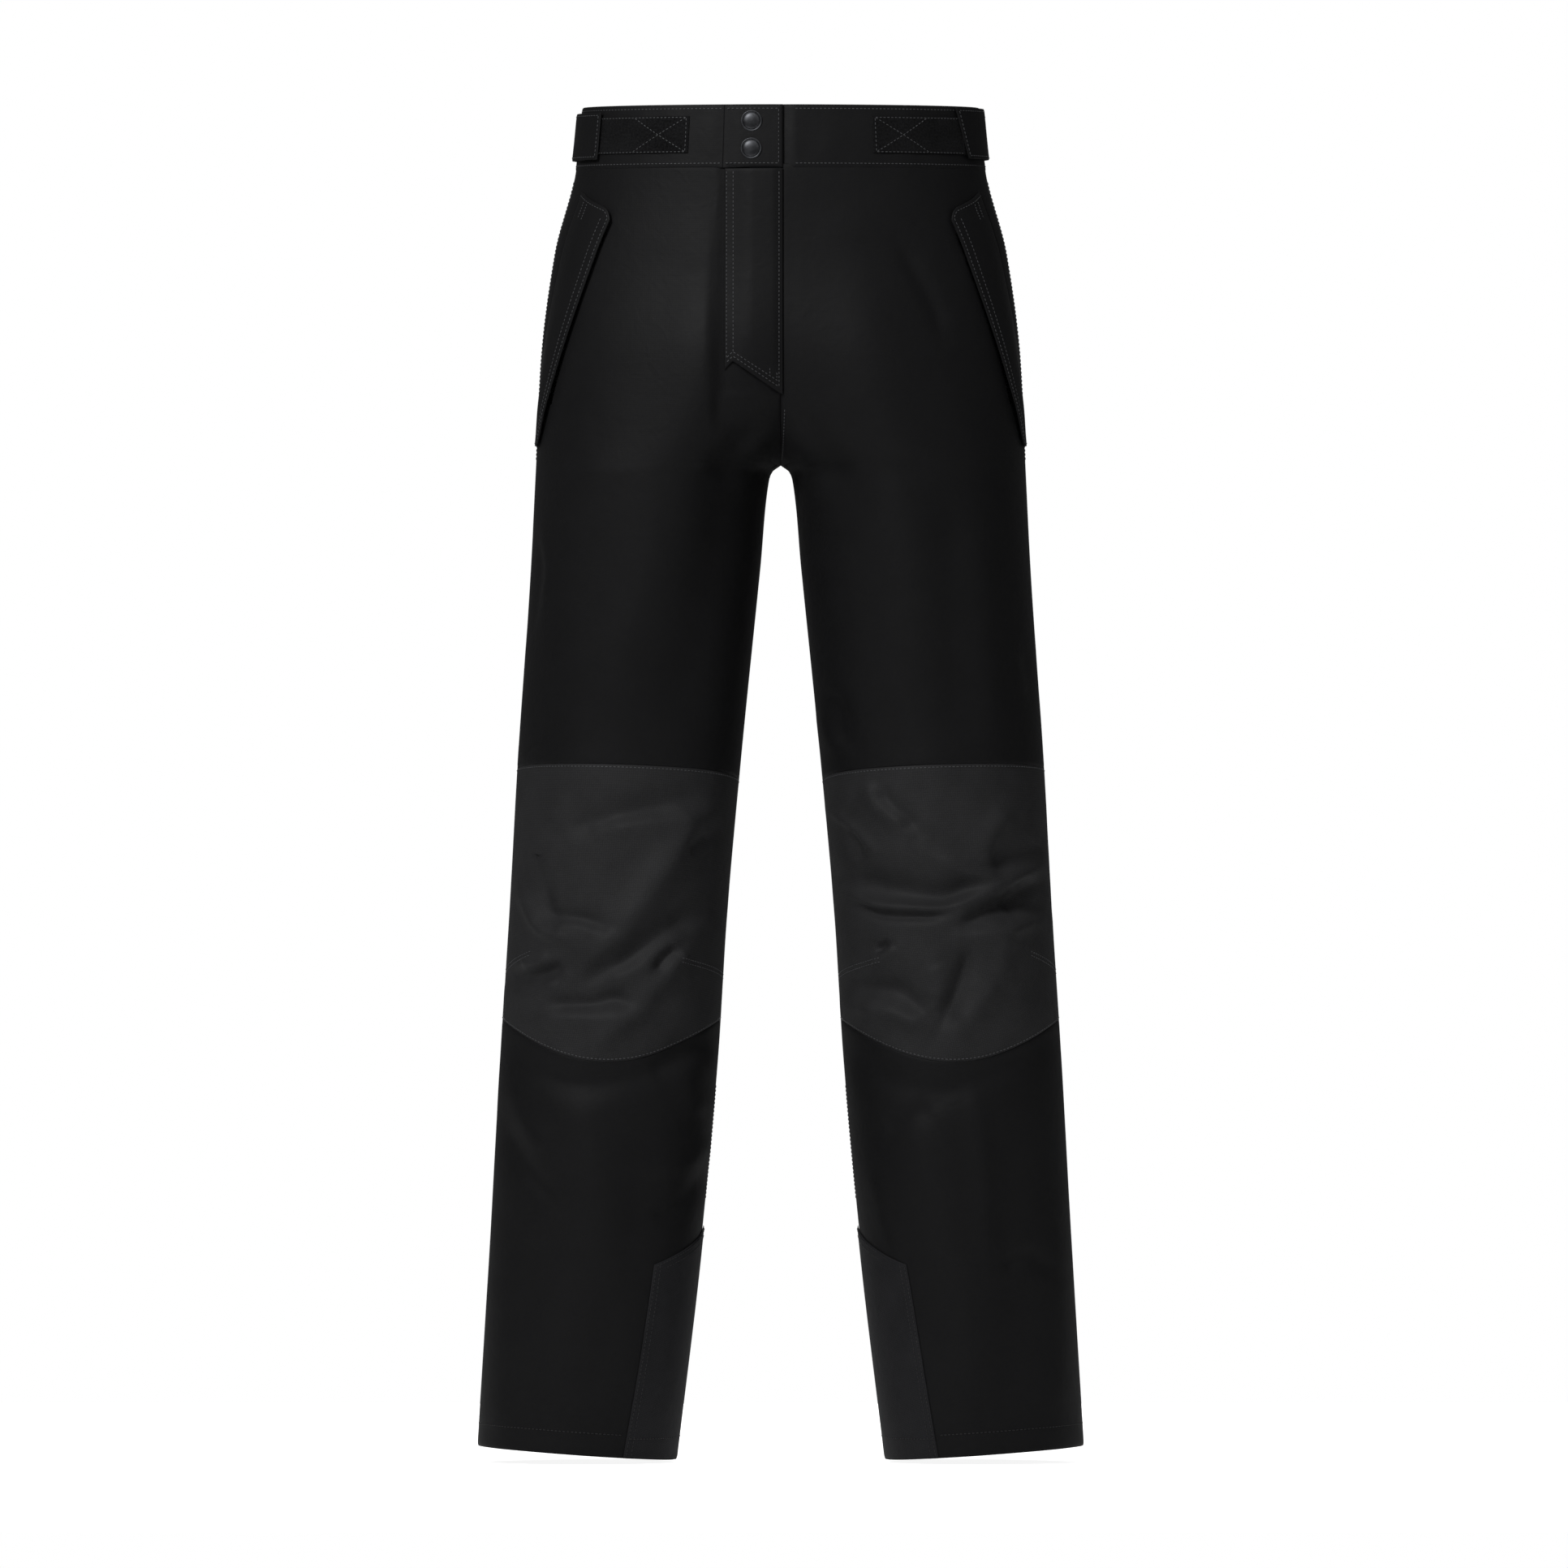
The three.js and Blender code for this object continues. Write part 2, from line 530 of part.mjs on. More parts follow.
function waistbandTab() {
  const turns = spread(TAB_START, TAB_END, FINE_TURN);
  const plain = fullBand(turns, () => TAB_OUT);
  const turn = turnAt(FLY_OVERLAP - SNAP_FROM_EDGE);
  const places = SNAP_DROPS.map((drop) => {
    const [above, below] = [round(turn, drop - 1, 0), round(turn, drop + 1, 0)];
    const out = round(turn, drop, 1).sub(round(turn, drop, 0));
    return stand(round(turn, drop, 0), above.sub(below), out);
  });
  const holes = places.map((place) => {
    place.updateMatrixWorld(true);
    return new THREE.CylinderGeometry(SNAP_HOLE, SNAP_HOLE, 10, 24).applyMatrix4(place.matrixWorld);
  });
  add("waistband_tab", cut(plain, ...holes), "shell");
  places.forEach((place, i) => {
    const label = i === 0 ? "upper" : "lower";
    add(`${label}_snap_cap`, snapCap(), "metal", place);
    add(`${label}_snap_stud`, snapStud(), "metal", place);
  });
}

const STUD_FOOT = BAND_OUT - UNDERLAP_DIP + REST_GAP;
const STUD_TOP = STUD_FOOT + STUD_BASE;
const SOCKET_FOOT = STUD_TOP + REST_GAP;
const BULB_TOP = TAB_OUT - 1;

// The dome and, through the tab, the socket behind it.
function snapCap() {
  const foot = TAB_OUT + REST_GAP;
  const rim = 0.7;
  const dome = shares(4).map((t) => {
    const turn = (t * HALF_TURN) / 2;
    return [SNAP_RADIUS * Math.sin(turn), foot + rim + (SNAP_DOME - rim) * Math.cos(turn)];
  });
  const socket = SNAP_BULB + SNAP_BULB_GAP;
  const post = SNAP_HOLE - SNAP_POST_GAP;
  const roof = BULB_TOP + REST_GAP;
  const rest = [[SNAP_RADIUS, foot], [post, foot], [post, SOCKET_FOOT], [socket, SOCKET_FOOT], [socket, roof]];
  return lathe([...dome, ...rest, [0, roof]]);
}

function snapStud() {
  const neck = SNAP_BULB * 0.8;
  const profilePoints = [
    [0, BULB_TOP],
    [SNAP_BULB * 0.7, BULB_TOP - 0.1],
    [SNAP_BULB, BULB_TOP - 0.6],
    [neck, BULB_TOP - 1.2],
    [neck, STUD_TOP],
    [STUD_RADIUS, STUD_TOP],
    [STUD_RADIUS, STUD_FOOT],
    [0, STUD_FOOT],
  ];
  return lathe(profilePoints);
}

// ---- Waist adjusters ----
const PAD_FOOT = BAND_OUT + REST_GAP;
const HOOK_FOOT = PAD_FOOT + PAD_THICKNESS + REST_GAP;
const STRAP_FOOT = HOOK_FOOT + HOOK_THICKNESS + REST_GAP;

function adjuster({ name, sign }) {
  const strip = (from, to, foot, thickness, top, height) => {
    const turns = spread(sign * from * DEG, sign * to * DEG, FINE_TURN);
    return band(turns, (turn) => foot(Math.abs(turn) / DEG) + thickness, top, top + height, thickness);
  };
  const padTop = [() => PAD_FOOT, PAD_THICKNESS, PAD_TOP, PAD_HEIGHT];
  add(`${name}_loop_pad`, strip(PAD_FRONT, STRAP_HINGE - 1, ...padTop), "loop");
  const hookSize = [() => HOOK_FOOT, HOOK_THICKNESS, PAD_TOP, PAD_HEIGHT];
  add(`${name}_hook_patch`, strip(STRAP_FRONT + 1, STRAP_HINGE - 2, ...hookSize), "hook");
  const tabSize = [() => STRAP_FOOT, STRAP_THICKNESS, STRAP_TOP, STRAP_HEIGHT];
  add(`${name}_adjuster_tab`, strip(STRAP_FRONT, STRAP_HINGE - 0.1, ...tabSize), "shell");
  const down = (turn) => lerp(STRAP_FOOT, PAD_FOOT, (turn - STRAP_HINGE) / (STRAP_END - STRAP_HINGE));
  const strapSize = [down, STRAP_THICKNESS, STRAP_TOP, STRAP_HEIGHT];
  add(`${name}_adjuster_strap`, strip(STRAP_HINGE + 0.1, STRAP_END, ...strapSize), "shell");
}

// ---- Zips ----
const CHAIN_FOOT = REST_GAP;
const CHAIN_TOP = CHAIN_FOOT + CHAIN_THICKNESS;
const PLATE_FOOT = CHAIN_TOP + RUN_GAP;
const PLATE_TOP = PLATE_FOOT + SLIDER_PLATE;
const PULL_FOOT = PLATE_TOP + RUN_GAP;
const POST_TOP = PULL_FOOT + PULL_THICKNESS + REST_GAP;
const SLOT_HALF = SLIDER_WIDTH / 2 + SLOT_SIDE;

// The line a zip follows: a straight one, or an arc through a third point. Its place(down, across, out)
// measures from the tape's face, and its frame(down) stands a group there.
function straightLine(top, bottom, out, drop) {
  const up = top.clone().sub(bottom).normalize();
  const flatOut = out.clone().addScaledVector(up, -out.dot(up)).normalize();
  const across = flatOut.clone().cross(up);
  const place = (down, aside, lift) =>
    top.clone().addScaledVector(up, -down).addScaledVector(across, aside).addScaledVector(flatOut, lift - drop);
  const frame = (down) => stand(place(down, 0, 0), up, flatOut);
  return { place, frame, length: top.distanceTo(bottom) };
}

function arcLine(top, middle, bottom, drop) {
  const chord = top.clone().sub(bottom);
  const half = chord.length() / 2;
  const up = chord.normalize();
  const mid = top.clone().add(bottom).multiplyScalar(0.5);
  const bow = middle.clone().sub(mid);
  bow.addScaledVector(up, -bow.dot(up));
  const rise = bow.length();
  const out = bow.normalize();
  const radius = (half * half + rise * rise) / (2 * rise);
  const hub = mid.clone().addScaledVector(out, rise - radius);
  const across = out.clone().cross(up);
  const spanTurn = Math.asin(half / radius);
  const radial = (down) => {
    const turn = spanTurn - down / radius;
    return out.clone().multiplyScalar(Math.cos(turn)).addScaledVector(up, Math.sin(turn));
  };
  const place = (down, aside, lift) =>
    hub.clone().addScaledVector(radial(down), radius + lift - drop).addScaledVector(across, aside);
  const frame = (down) => stand(place(down, 0, 0), across.clone().cross(radial(down)), radial(down));
  return { place, frame, length: 2 * spanTurn * radius };
}

// A bar along a zip's line.
function bar(line, half, from, to, foot, top, step = 16) {
  const rows = spread(from, to, step);
  const place = (lift) => (aside, down) => line.place(down, aside * half(down), lift);
  return sheet([-1, 1], rows, place(top), place(foot));
}

const toothHalf = (down) => CHAIN_WIDTH / 2 - (Math.round(down / TOOTH_PITCH) % 2 ? TOOTH_NOTCH : 0);
const chain = (line, foot) => bar(line, toothHalf, 3, line.length - 3, foot, CHAIN_TOP, TOOTH_PITCH);

// Tape whose middle lies along the zip's line and whose edges lie against the shell from inside.
function tape(line, edgeAt) {
  const level = -FABRIC - REST_GAP - LOOSE_GAP;
  const [edge, bend] = [TAPE_WIDTH / 2, SLOT_HALF - RUN_GAP];
  const asides = [-edge, -bend, -CHAIN_WIDTH, CHAIN_WIDTH, bend, edge];
  const place = (less) => (aside, down) => {
    const point = line.place(down, aside, -less);
    return Math.abs(aside) > CHAIN_WIDTH ? edgeAt(line.place(down, aside, 0), level - less) : point;
  };
  return sheet(asides, spread(0, line.length, 20), place(0), place(TAPE_THICKNESS));
}

// A slider that straddles the chain, with a post on which its pull turns.
function slider() {
  const foot = CHAIN_FOOT + RUN_GAP;
  const flangeAt = SLIDER_WIDTH / 2 - SLIDER_FLANGE / 2;
  const flanges = [-1, 1].map((s) =>
    box(SLIDER_FLANGE, PLATE_TOP - foot, SLIDER_LENGTH, s * flangeAt, (PLATE_TOP + foot) / 2, 0),
  );
  const middle = (PLATE_TOP + PLATE_FOOT) / 2;
  const plate = box(SLIDER_WIDTH, SLIDER_PLATE, SLIDER_LENGTH, 0, middle, 0);
  const post = new THREE.CylinderGeometry(POST_RADIUS, POST_RADIUS, POST_TOP - middle, 12);
  return join(plate, ...flanges, post.translate(0, (POST_TOP + middle) / 2, 0));
}

// A flat pull with a hole for the post, hanging down from it.
function pull(length) {
  const half = PULL_WIDTH / 2;
  const tip = half * 0.8;
  const outline = new THREE.Shape()
    .moveTo(-half, 0)
    .absarc(0, 0, half, HALF_TURN, 0, true)
    .lineTo(tip, tip - length)
    .absarc(0, tip - length, tip, 0, -HALF_TURN, true);
  outline.holes.push(new THREE.Path().absarc(0, 0, POST_RADIUS + RUN_GAP, 0, 2 * HALF_TURN, false));
  return new THREE.ExtrudeGeometry(outline, { depth: PULL_THICKNESS, bevelEnabled: false, curveSegments: 8 })
    .rotateX(HALF_TURN / 2)
    .translate(0, PULL_FOOT + PULL_THICKNESS, 0);
}

// Puts a slider on its line, with its pull hanging along it.
function runner(name, line, down, pullLength) {
  const at = line.frame(down);
  add(`${name}_slider`, slider(), "plastic", at);
  add(`${name}_pull`, pull(pullLength), "plastic", at);
}

// ---- Fly ----
const FLY_LEFT = FLY_OVERLAP - FLY_WIDTH;
const FLY_TOP = WAISTBAND_HEIGHT + SEAM_GAP / 2;

function flyFlap() {
  const place = (off) => (u, v) => {
    const x = lerp(FLY_LEFT, FLY_OVERLAP, u);
    const bottom = WAISTBAND_HEIGHT + FLY_LENGTH + FLY_SLANT * u;
    const bulge = FLY_BULGE * (1 - Math.pow(2 * u - 1, 4));
    return front(x, lerp(FLY_TOP, bottom, v), LOOSE_GAP + bulge + off);
  };
  return sheet(shares(10), shares(7), place(FLAP_THICKNESS), place(0));
}

// The wearer's left front reaches on behind the zip as a guard.
function flyGuard(tapeBack) {
  const [deep, near] = [tapeBack - 2 * REST_GAP, -FABRIC - LOOSE_GAP];
  const asides = [-3 * FLY_ZIP_AT, -2 * FLY_ZIP_AT, -FLY_ZIP_AT, 0, FLY_ZIP_AT / 3, 0.6 * FLY_ZIP_AT, FLY_ZIP_AT];
  const off = (x) => (x < FLY_ZIP_AT / 2 ? deep : near);
  const place = (less) => (x, v) =>
    front(x, lerp(FLY_TOP + 1, FLY_TOP + FLY_ZIP_LENGTH + 8, v), off(x) - less);
  return sheet(asides, shares(6), place(0), place(FABRIC));
}

function fly() {
  const ends = [FLY_TOP + 2, FLY_TOP + 2 + FLY_ZIP_LENGTH];
  const [top, bottom] = ends.map((drop) => front(-FLY_ZIP_AT, drop));
  const line = straightLine(top, bottom, new THREE.Vector3(0, -1, 0), FLY_ZIP_DROP);
  add("fly_flap", flyFlap(), "shell");
  add("fly_zip_tape", tape(line, (point, off) => front(point.x, -point.z, off)), "tape");
  add("fly_zip_chain", chain(line, CHAIN_FOOT), "plastic");
  add("fly_guard", flyGuard(-FLY_ZIP_DROP - TAPE_THICKNESS), "lining");
  runner("fly_zip", line, SLIDER_LENGTH, FLY_PULL_LENGTH);
}

// ---- Hand pockets ----
const pocketEdge = (drop) => {
  const share = (drop - POCKET_TOP) / (POCKET_BOTTOM - POCKET_TOP);
  return lerp(POCKET_EDGE_TOP, POCKET_EDGE_BOTTOM, share) * halfWidth(drop);
};

// The turn round the shell at a distance from its middle, on the front and towards the side.
const sideTurn = (x, drop) => HALF_TURN - Math.acos((x - centre(drop)) / (halfWidth(drop) - centre(drop)));

function pocketLine(sign) {
  const [top, bottom] = [POCKET_ZIP_TOP, POCKET_ZIP_BOTTOM].map((drop) => {
    const turn = sideTurn(pocketEdge(drop), drop);
    return skin(sign, turn + POCKET_ZIP_BEHIND / frontDepth(drop), drop);
  });
  const middle = top.clone().add(bottom).multiplyScalar(0.5);
  return arcLine(top, skin(sign, nearest(sign, middle), -middle.z), bottom, POCKET_ZIP_DROP);
}

function pocketFlap(sign) {
  const place = (off) => (u, v) => {
    const drop = lerp(POCKET_TOP - POCKET_TOP_SLANT * u, POCKET_BOTTOM, v);
    const edge = sideTurn(pocketEdge(Math.max(drop, POCKET_TOP)), Math.max(drop, POCKET_TOP));
    const sewn = lerp(POCKET_SEWN_TOP, POCKET_SEWN_BOTTOM, v) * DEG;
    return skin(sign, lerp(edge, sewn, u), drop, LOOSE_GAP + POCKET_LIFT * (1 - u * u) + off);
  };
  return sheet(shares(7), shares(8), place(FLAP_THICKNESS), place(0));
}

// The pocket's pouch, lying flat behind its zip.
function pocketBag(sign) {
  const top = POCKET_ZIP_TOP - 8;
  const foot = -POCKET_ZIP_DROP - TAPE_THICKNESS - 4 * REST_GAP;
  const turns = spread(BAG_FROM * DEG, BAG_TO * DEG, 2 * FINE_TURN);
  const place = (off) => (turn, v) => skin(sign, turn, lerp(top, top + BAG_DEPTH, v), off);
  return sheet(turns, shares(4), place(foot), place(foot - BAG_FABRIC));
}

function pocket({ name, sign }, line) {
  add(`${name}_pocket_flap`, pocketFlap(sign), "shell");
  const edge = (point, off) => skin(sign, nearest(sign, point), -point.z, off);
  const zip = join(tape(line, edge), chain(line, -TAPE_THICKNESS / 2));
  add(`${name}_pocket_zip`, zip, "tape");
  runner(`${name}_pocket`, line, POCKET_SLIDER_AT, POCKET_PULL_LENGTH);
  add(`${name}_pocket_bag`, pocketBag(sign), "lining");
}

// ---- Assembly ----
waistband();
waistbandTab();
fly();
for (const half of SIDES) {
  const line = pocketLine(half.sign);
  const slot = bar(line, () => SLOT_HALF, -1, line.length + 1, -8, 8);
  shell(half, slot);
  pocket(half, line);
  adjuster(half);
  add(`${half.name}_kick_patch`, kickPatch(half.sign), "reinforcement");
  add(`${half.name}_snow_gaiter`, gaiter(half.sign), "lining");
}

export default pants;
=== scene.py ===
"""Women's ski shell pants, standing open as if worn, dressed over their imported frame.

Run as a script. Each operator makes one group of pieces around the frame's nodes. Sizes are in millimetres
in the form and in metres in the meshes. "right" and "left" are the wearer's, so right is -X, and a drop is
measured down from the waistband's top edge."""

import math

import bpy
import numpy as np
from mathutils import Matrix, Vector


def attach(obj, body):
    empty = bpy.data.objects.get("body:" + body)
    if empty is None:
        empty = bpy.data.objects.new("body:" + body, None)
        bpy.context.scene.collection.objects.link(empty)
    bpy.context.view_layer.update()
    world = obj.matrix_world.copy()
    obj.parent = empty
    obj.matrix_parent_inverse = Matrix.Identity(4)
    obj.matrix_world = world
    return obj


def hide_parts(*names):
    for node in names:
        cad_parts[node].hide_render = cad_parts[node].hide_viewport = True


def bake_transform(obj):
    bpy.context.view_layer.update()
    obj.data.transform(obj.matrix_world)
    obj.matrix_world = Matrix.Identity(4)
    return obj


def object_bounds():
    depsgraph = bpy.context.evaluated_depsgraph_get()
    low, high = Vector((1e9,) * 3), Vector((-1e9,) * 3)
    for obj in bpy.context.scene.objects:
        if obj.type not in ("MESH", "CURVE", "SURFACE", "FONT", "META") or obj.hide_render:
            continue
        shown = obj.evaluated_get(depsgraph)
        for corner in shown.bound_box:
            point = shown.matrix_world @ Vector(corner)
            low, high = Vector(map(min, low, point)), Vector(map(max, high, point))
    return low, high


bl_info = {
    "name": "Ski Pants Dresser",
    "version": (1, 0, 0),
    "blender": (4, 5, 0),
    "location": "3D View > Sidebar > Ski Pants",
    "description": "Makes the cloth, stitching and trim of a pair of ski shell pants around their frame",
    "category": "Object",
}

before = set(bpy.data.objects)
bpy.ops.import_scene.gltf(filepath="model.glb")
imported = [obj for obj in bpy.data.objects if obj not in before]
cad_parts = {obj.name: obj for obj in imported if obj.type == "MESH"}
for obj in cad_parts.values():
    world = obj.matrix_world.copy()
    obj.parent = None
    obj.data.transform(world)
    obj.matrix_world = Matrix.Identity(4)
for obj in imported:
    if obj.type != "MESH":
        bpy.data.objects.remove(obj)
FRAME_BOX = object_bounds()

# ---- Sizes shared with the frame, mm ----
WAISTBAND_HEIGHT = 50
HIGH_HIP = 115
HIP = 200
RISE = 282
SWING_TOP = 294
THIGH = 363
KNEE_TOP = 516
BACK_ABOVE = 14
BACK_KNEE = KNEE_TOP - BACK_ABOVE
KNEE = 633.5
KNEE_BOTTOM = 751
CALF = 905.5
HEM = 1060
HEM_CENTRE = 161
HEM_HALF = 78.5
HEM_SLOPE = math.radians(4)
WAIST_HALF = 156

SEAM_GAP = 0.4
SEAM_ALLOWANCE = 3.5
REST_GAP = 0.35
LOOSE_GAP = 0.8
BAND_OUT = 0.4
BAND_IN = -1.8
TAB_OUT = 1.8
TAB_IN = -0.4
FLY_LEFT = -44
FLY_RIGHT = 1.5
FLY_ZIP_AT = -12
FLY_DEEP = 2.1
TAPE_DEEP = 2.35
POCKET_DEEP = 2.4
FLY_RECESS = 1.5
TAB_SLANT = 5.5
FLAP_RECESS = 1.2
FLY_START = math.asin(FLY_LEFT / WAIST_HALF)
FLY_END = math.asin(FLY_RIGHT / WAIST_HALF)
SIDES = (("right", -1), ("left", 1))


def profile(*points):
    """A smooth curve through (place, value) pairs that never overshoots them."""
    xs, ys = (np.array(c, float) for c in zip(*points))
    slopes = np.diff(ys) / np.diff(xs)
    tangents = [slopes[0]]
    for before, after in zip(slopes[:-1], slopes[1:]):
        tangents.append(0 if before * after <= 0 else 2 * before * after / (before + after))
    tangents.append(slopes[-1])
    tangents = np.array(tangents)

    def at(x):
        x = np.asarray(x, float)
        k = np.clip(np.searchsorted(xs, x, side="right") - 1, 0, len(xs) - 2)
        span = xs[k + 1] - xs[k]
        t = (x - xs[k]) / span
        t2, t3 = t * t, t * t * t
        ends = ys[k] * (2 * t3 - 3 * t2 + 1) + ys[k + 1] * (3 * t2 - 2 * t3)
        return ends + span * (tangents[k] * (t3 - 2 * t2 + t) + tangents[k + 1] * (t3 - t2))

    return at


half_width = profile(
    (0, 156), (50, 161.5), (HIGH_HIP, 178), (HIP, 189), (RISE, 193), (THIGH, 197), (KNEE_TOP, 207.5),
    (KNEE, 214), (KNEE_BOTTOM, 221.5), (CALF, 230), (HEM, 239.5),
)
middle = profile(
    (0, 0), (50, 0), (HIGH_HIP, 10), (HIP, 45), (RISE - 32, 75), (RISE, 96.5), (RISE + 5, 100),
    (SWING_TOP, 101.4), (THIGH, 106.5), (KNEE_TOP, 119.5), (KNEE, 128), (KNEE_BOTTOM, 135.5),
    (CALF, 147), (HEM, HEM_CENTRE),
)
front_depth = profile(
    (0, 92), (50, 96), (HIGH_HIP, 100), (HIP, 108), (RISE, 104), (THIGH, 98), (KNEE_TOP, 88),
    (KNEE, 88), (KNEE_BOTTOM, 80), (CALF, 77), (HEM, 76),
)
back_depth = profile(
    (0, 100), (50, 104), (HIGH_HIP, 118), (HIP, 128), (RISE, 120), (THIGH, 104), (KNEE_TOP, 88),
    (KNEE, 80), (KNEE_BOTTOM, 84), (CALF, 84), (HEM, 78),
)


def lerp(a, b, t):
    return a + (b - a) * t


def ease(low, high, x):
    t = np.clip((x - low) / (high - low), 0, 1)
    return t * t * (3 - 2 * t)


def stacked(x, y, z):
    return np.stack(np.broadcast_arrays(x, y, z), -1)


def skin(sign, angle, drop, off=0.0):
    """Points of the shell, pushed out by off: angle 0 is the inseam, 90 the front, 180 the side seam."""
    mid = middle(drop)
    across = half_width(drop) - mid
    deep = np.where(np.sin(angle) >= 0, front_depth(drop), back_depth(drop))
    nx, ny = -np.cos(angle) / across, -np.sin(angle) / deep
    long = np.hypot(nx, ny)
    x = mid - across * np.cos(angle)
    at_centre = 1 - ease(SWING_TOP - 8, SWING_TOP + 12, np.asarray(drop, float))
    x = x + off * nx / long * (1 - at_centre * (1 - ease(0, 26, x)))
    y = -deep * np.sin(angle) + off * ny / long
    x = np.where(np.asarray(drop) < SWING_TOP, np.maximum(x, np.where(np.sin(angle) > 0, 0.02, -0.2)), x)
    return stacked(sign * x, y, -np.asarray(drop, float))


def inner(drop, past=0.0):
    """Where a half's ellipse leaves the centre plane, or its inseam below the crotch."""
    mid = middle(drop)
    across = half_width(drop) - mid
    meets = np.arccos(np.minimum(1, (mid - 0.03 + past) / across))
    return np.maximum(meets, (SEAM_GAP / 4 - past) / front_depth(drop))


def side(drop):
    return math.pi - SEAM_GAP / 4 / front_depth(drop)


def front_turn(x, drop):
    """The turn of a place across the front; it grows towards the side seam."""
    across = half_width(drop) - middle(drop)
    return np.arccos(np.clip((middle(drop) - np.abs(x)) / across, -1, 1))


def front_y(x, drop):
    return -front_depth(drop) * np.sin(front_turn(x, drop))


def knee_top(u):
    return KNEE_TOP + 14 * (1 - u) ** 3 + 5 * u**6


def knee_bottom(u):
    return KNEE_BOTTOM - 32 * np.cos(math.pi * u) ** 2


def hem_drop(x):
    return HEM + math.tan(HEM_SLOPE) * (HEM_CENTRE - np.abs(x))


def hem_front(u):
    return hem_drop(HEM_CENTRE - HEM_HALF * np.cos(math.pi * u))


def pocket_edge(drop):
    return lerp(0.757, 0.985, (np.maximum(drop, 83) - 83) / 184) * half_width(np.maximum(drop, 83))


# ---- Folds ----
# a knee fold stands this many times as high as its row says
KNEE_CREASE = 1.5
# Each fold is its half width, its height (a valley is negative) and the places that it runs through.
# At a knee a place is measured from the knee's middle, outwards across the front and upwards.
RIGHT_KNEE_FOLDS = (
    (13, 5.5, ((70, 80), (53, 64), (41, 42), (14, 2), (-1, -18), (-19, -35), (-34, -52))),
    (11, -5, ((70, 0), (50, -9), (23, -26), (5, -38), (-19, -49), (-35, -61))),
    (9, 3.5, ((59, -13), (33, -29), (12, -46), (-13, -54))),
    (11, -3.6, ((-44, 64), (-17, 72), (12, 79), (51, 86))),
    (9, 3, ((-13, 65), (23, 70), (50, 74), (68, 77))),
    (5, 3, ((-78, 23), (-74, 10), (-65, -9), (-53, -18), (-32, -21))),
    (7, -3.6, ((-61, 34), (-58, 12), (-51, -2), (-32, -5), (-3, -13))),
    (6, 2.4, ((-53, -11), (-32, -11), (-10, -17))),
    (5, -3.5, ((-67, 46), (-66, 42))),
    (7, -5.5, ((-86, -53), (-62, -50), (-41, -41))),
    (6, 3.2, ((-77, -40), (-63, -40), (-51, -35))),
    (7, -4, ((-60, -73), (-21, -72), (-3, -68), (14, -73))),
    (11, 3.6, ((-64, -82), (-10, -83), (12, -78))),
    (10, 3.6, ((50, -49), (28, -58), (15, -77), (-13, -101), (-24, -114))),
    (5, -4.2, ((48, -27), (38, -35), (29, -47))),
    (7, 2.6, ((55, -31), (44, -40), (39, -49))),
    (12, 2.5, ((-86, -62), (-64, -60), (-44, -56))),
    (6, -2.2, ((53, 47), (64, 54), (74, 60))),
)
LEFT_KNEE_FOLDS = (
    (8, 3.2, ((-61, 104), (-51, 86), (-38, 75), (-29, 65))),
    (6, -3.4, ((-52, 99), (-42, 84), (-29, 74), (-20, 63))),
    (4, 2.2, ((-91, 82), (-79, 72), (-67, 61), (-56, 48))),
    (6, -2.8, ((-76, 65), (-69, 54), (-66, 39))),
    (13, -6.5, ((-85, 28), (-56, 21), (-29, 16), (-2, 13), (20, 18), (40, 23))),
    (4.5, 4.2, ((-79, 16), (-56, 7), (-29, 4), (0, 3), (23, 12), (43, 22))),
    (4, -3.2, ((-74, 7), (-52, -2), (-29, -3), (-5, -2), (7, 2))),
    (8, 3.6, ((-14, 45), (5, 38), (20, 32), (34, 29), (52, 29), (70, 34), (85, 48))),
    (12, -4, ((34, 36), (52, 41), (70, 45), (81, 56))),
    (10, 3.6, ((51, 83), (40, 66), (33, 52), (31, 34))),
    (7, 3.2, ((7, -4), (25, 6), (43, 16), (61, 27))),
    (9, -5, ((9, -13), (31, -1), (49, 7), (63, 16), (81, 25))),
    (10, -4, ((49, 1), (63, 5), (81, 0))),
    (8, 3.2, ((13, -18), (34, -18), (52, -13), (70, -6), (83, -7))),
    (10, 2.8, ((52, -17), (46, -31), (45, -53))),
    (4, -3.8, ((-53, -31), (-47, -27), (-42, -25))),
    (6, 2.8, ((-58, -40), (-49, -36), (-38, -26))),
    (10, -5, ((-79, -56), (-60, -60), (-38, -62), (-25, -71), (-12, -80))),
    (9, 3.4, ((-74, -73), (-52, -77), (-31, -82), (-13, -91))),
    (8, -4.6, ((22, -26), (16, -47), (9, -65), (2, -80), (-5, -94))),
    (10, 3.4, ((41, -53), (32, -67), (23, -80), (14, -92))),
    (9, 2.6, ((-9, -40), (-4, -56), (-7, -71))),
)
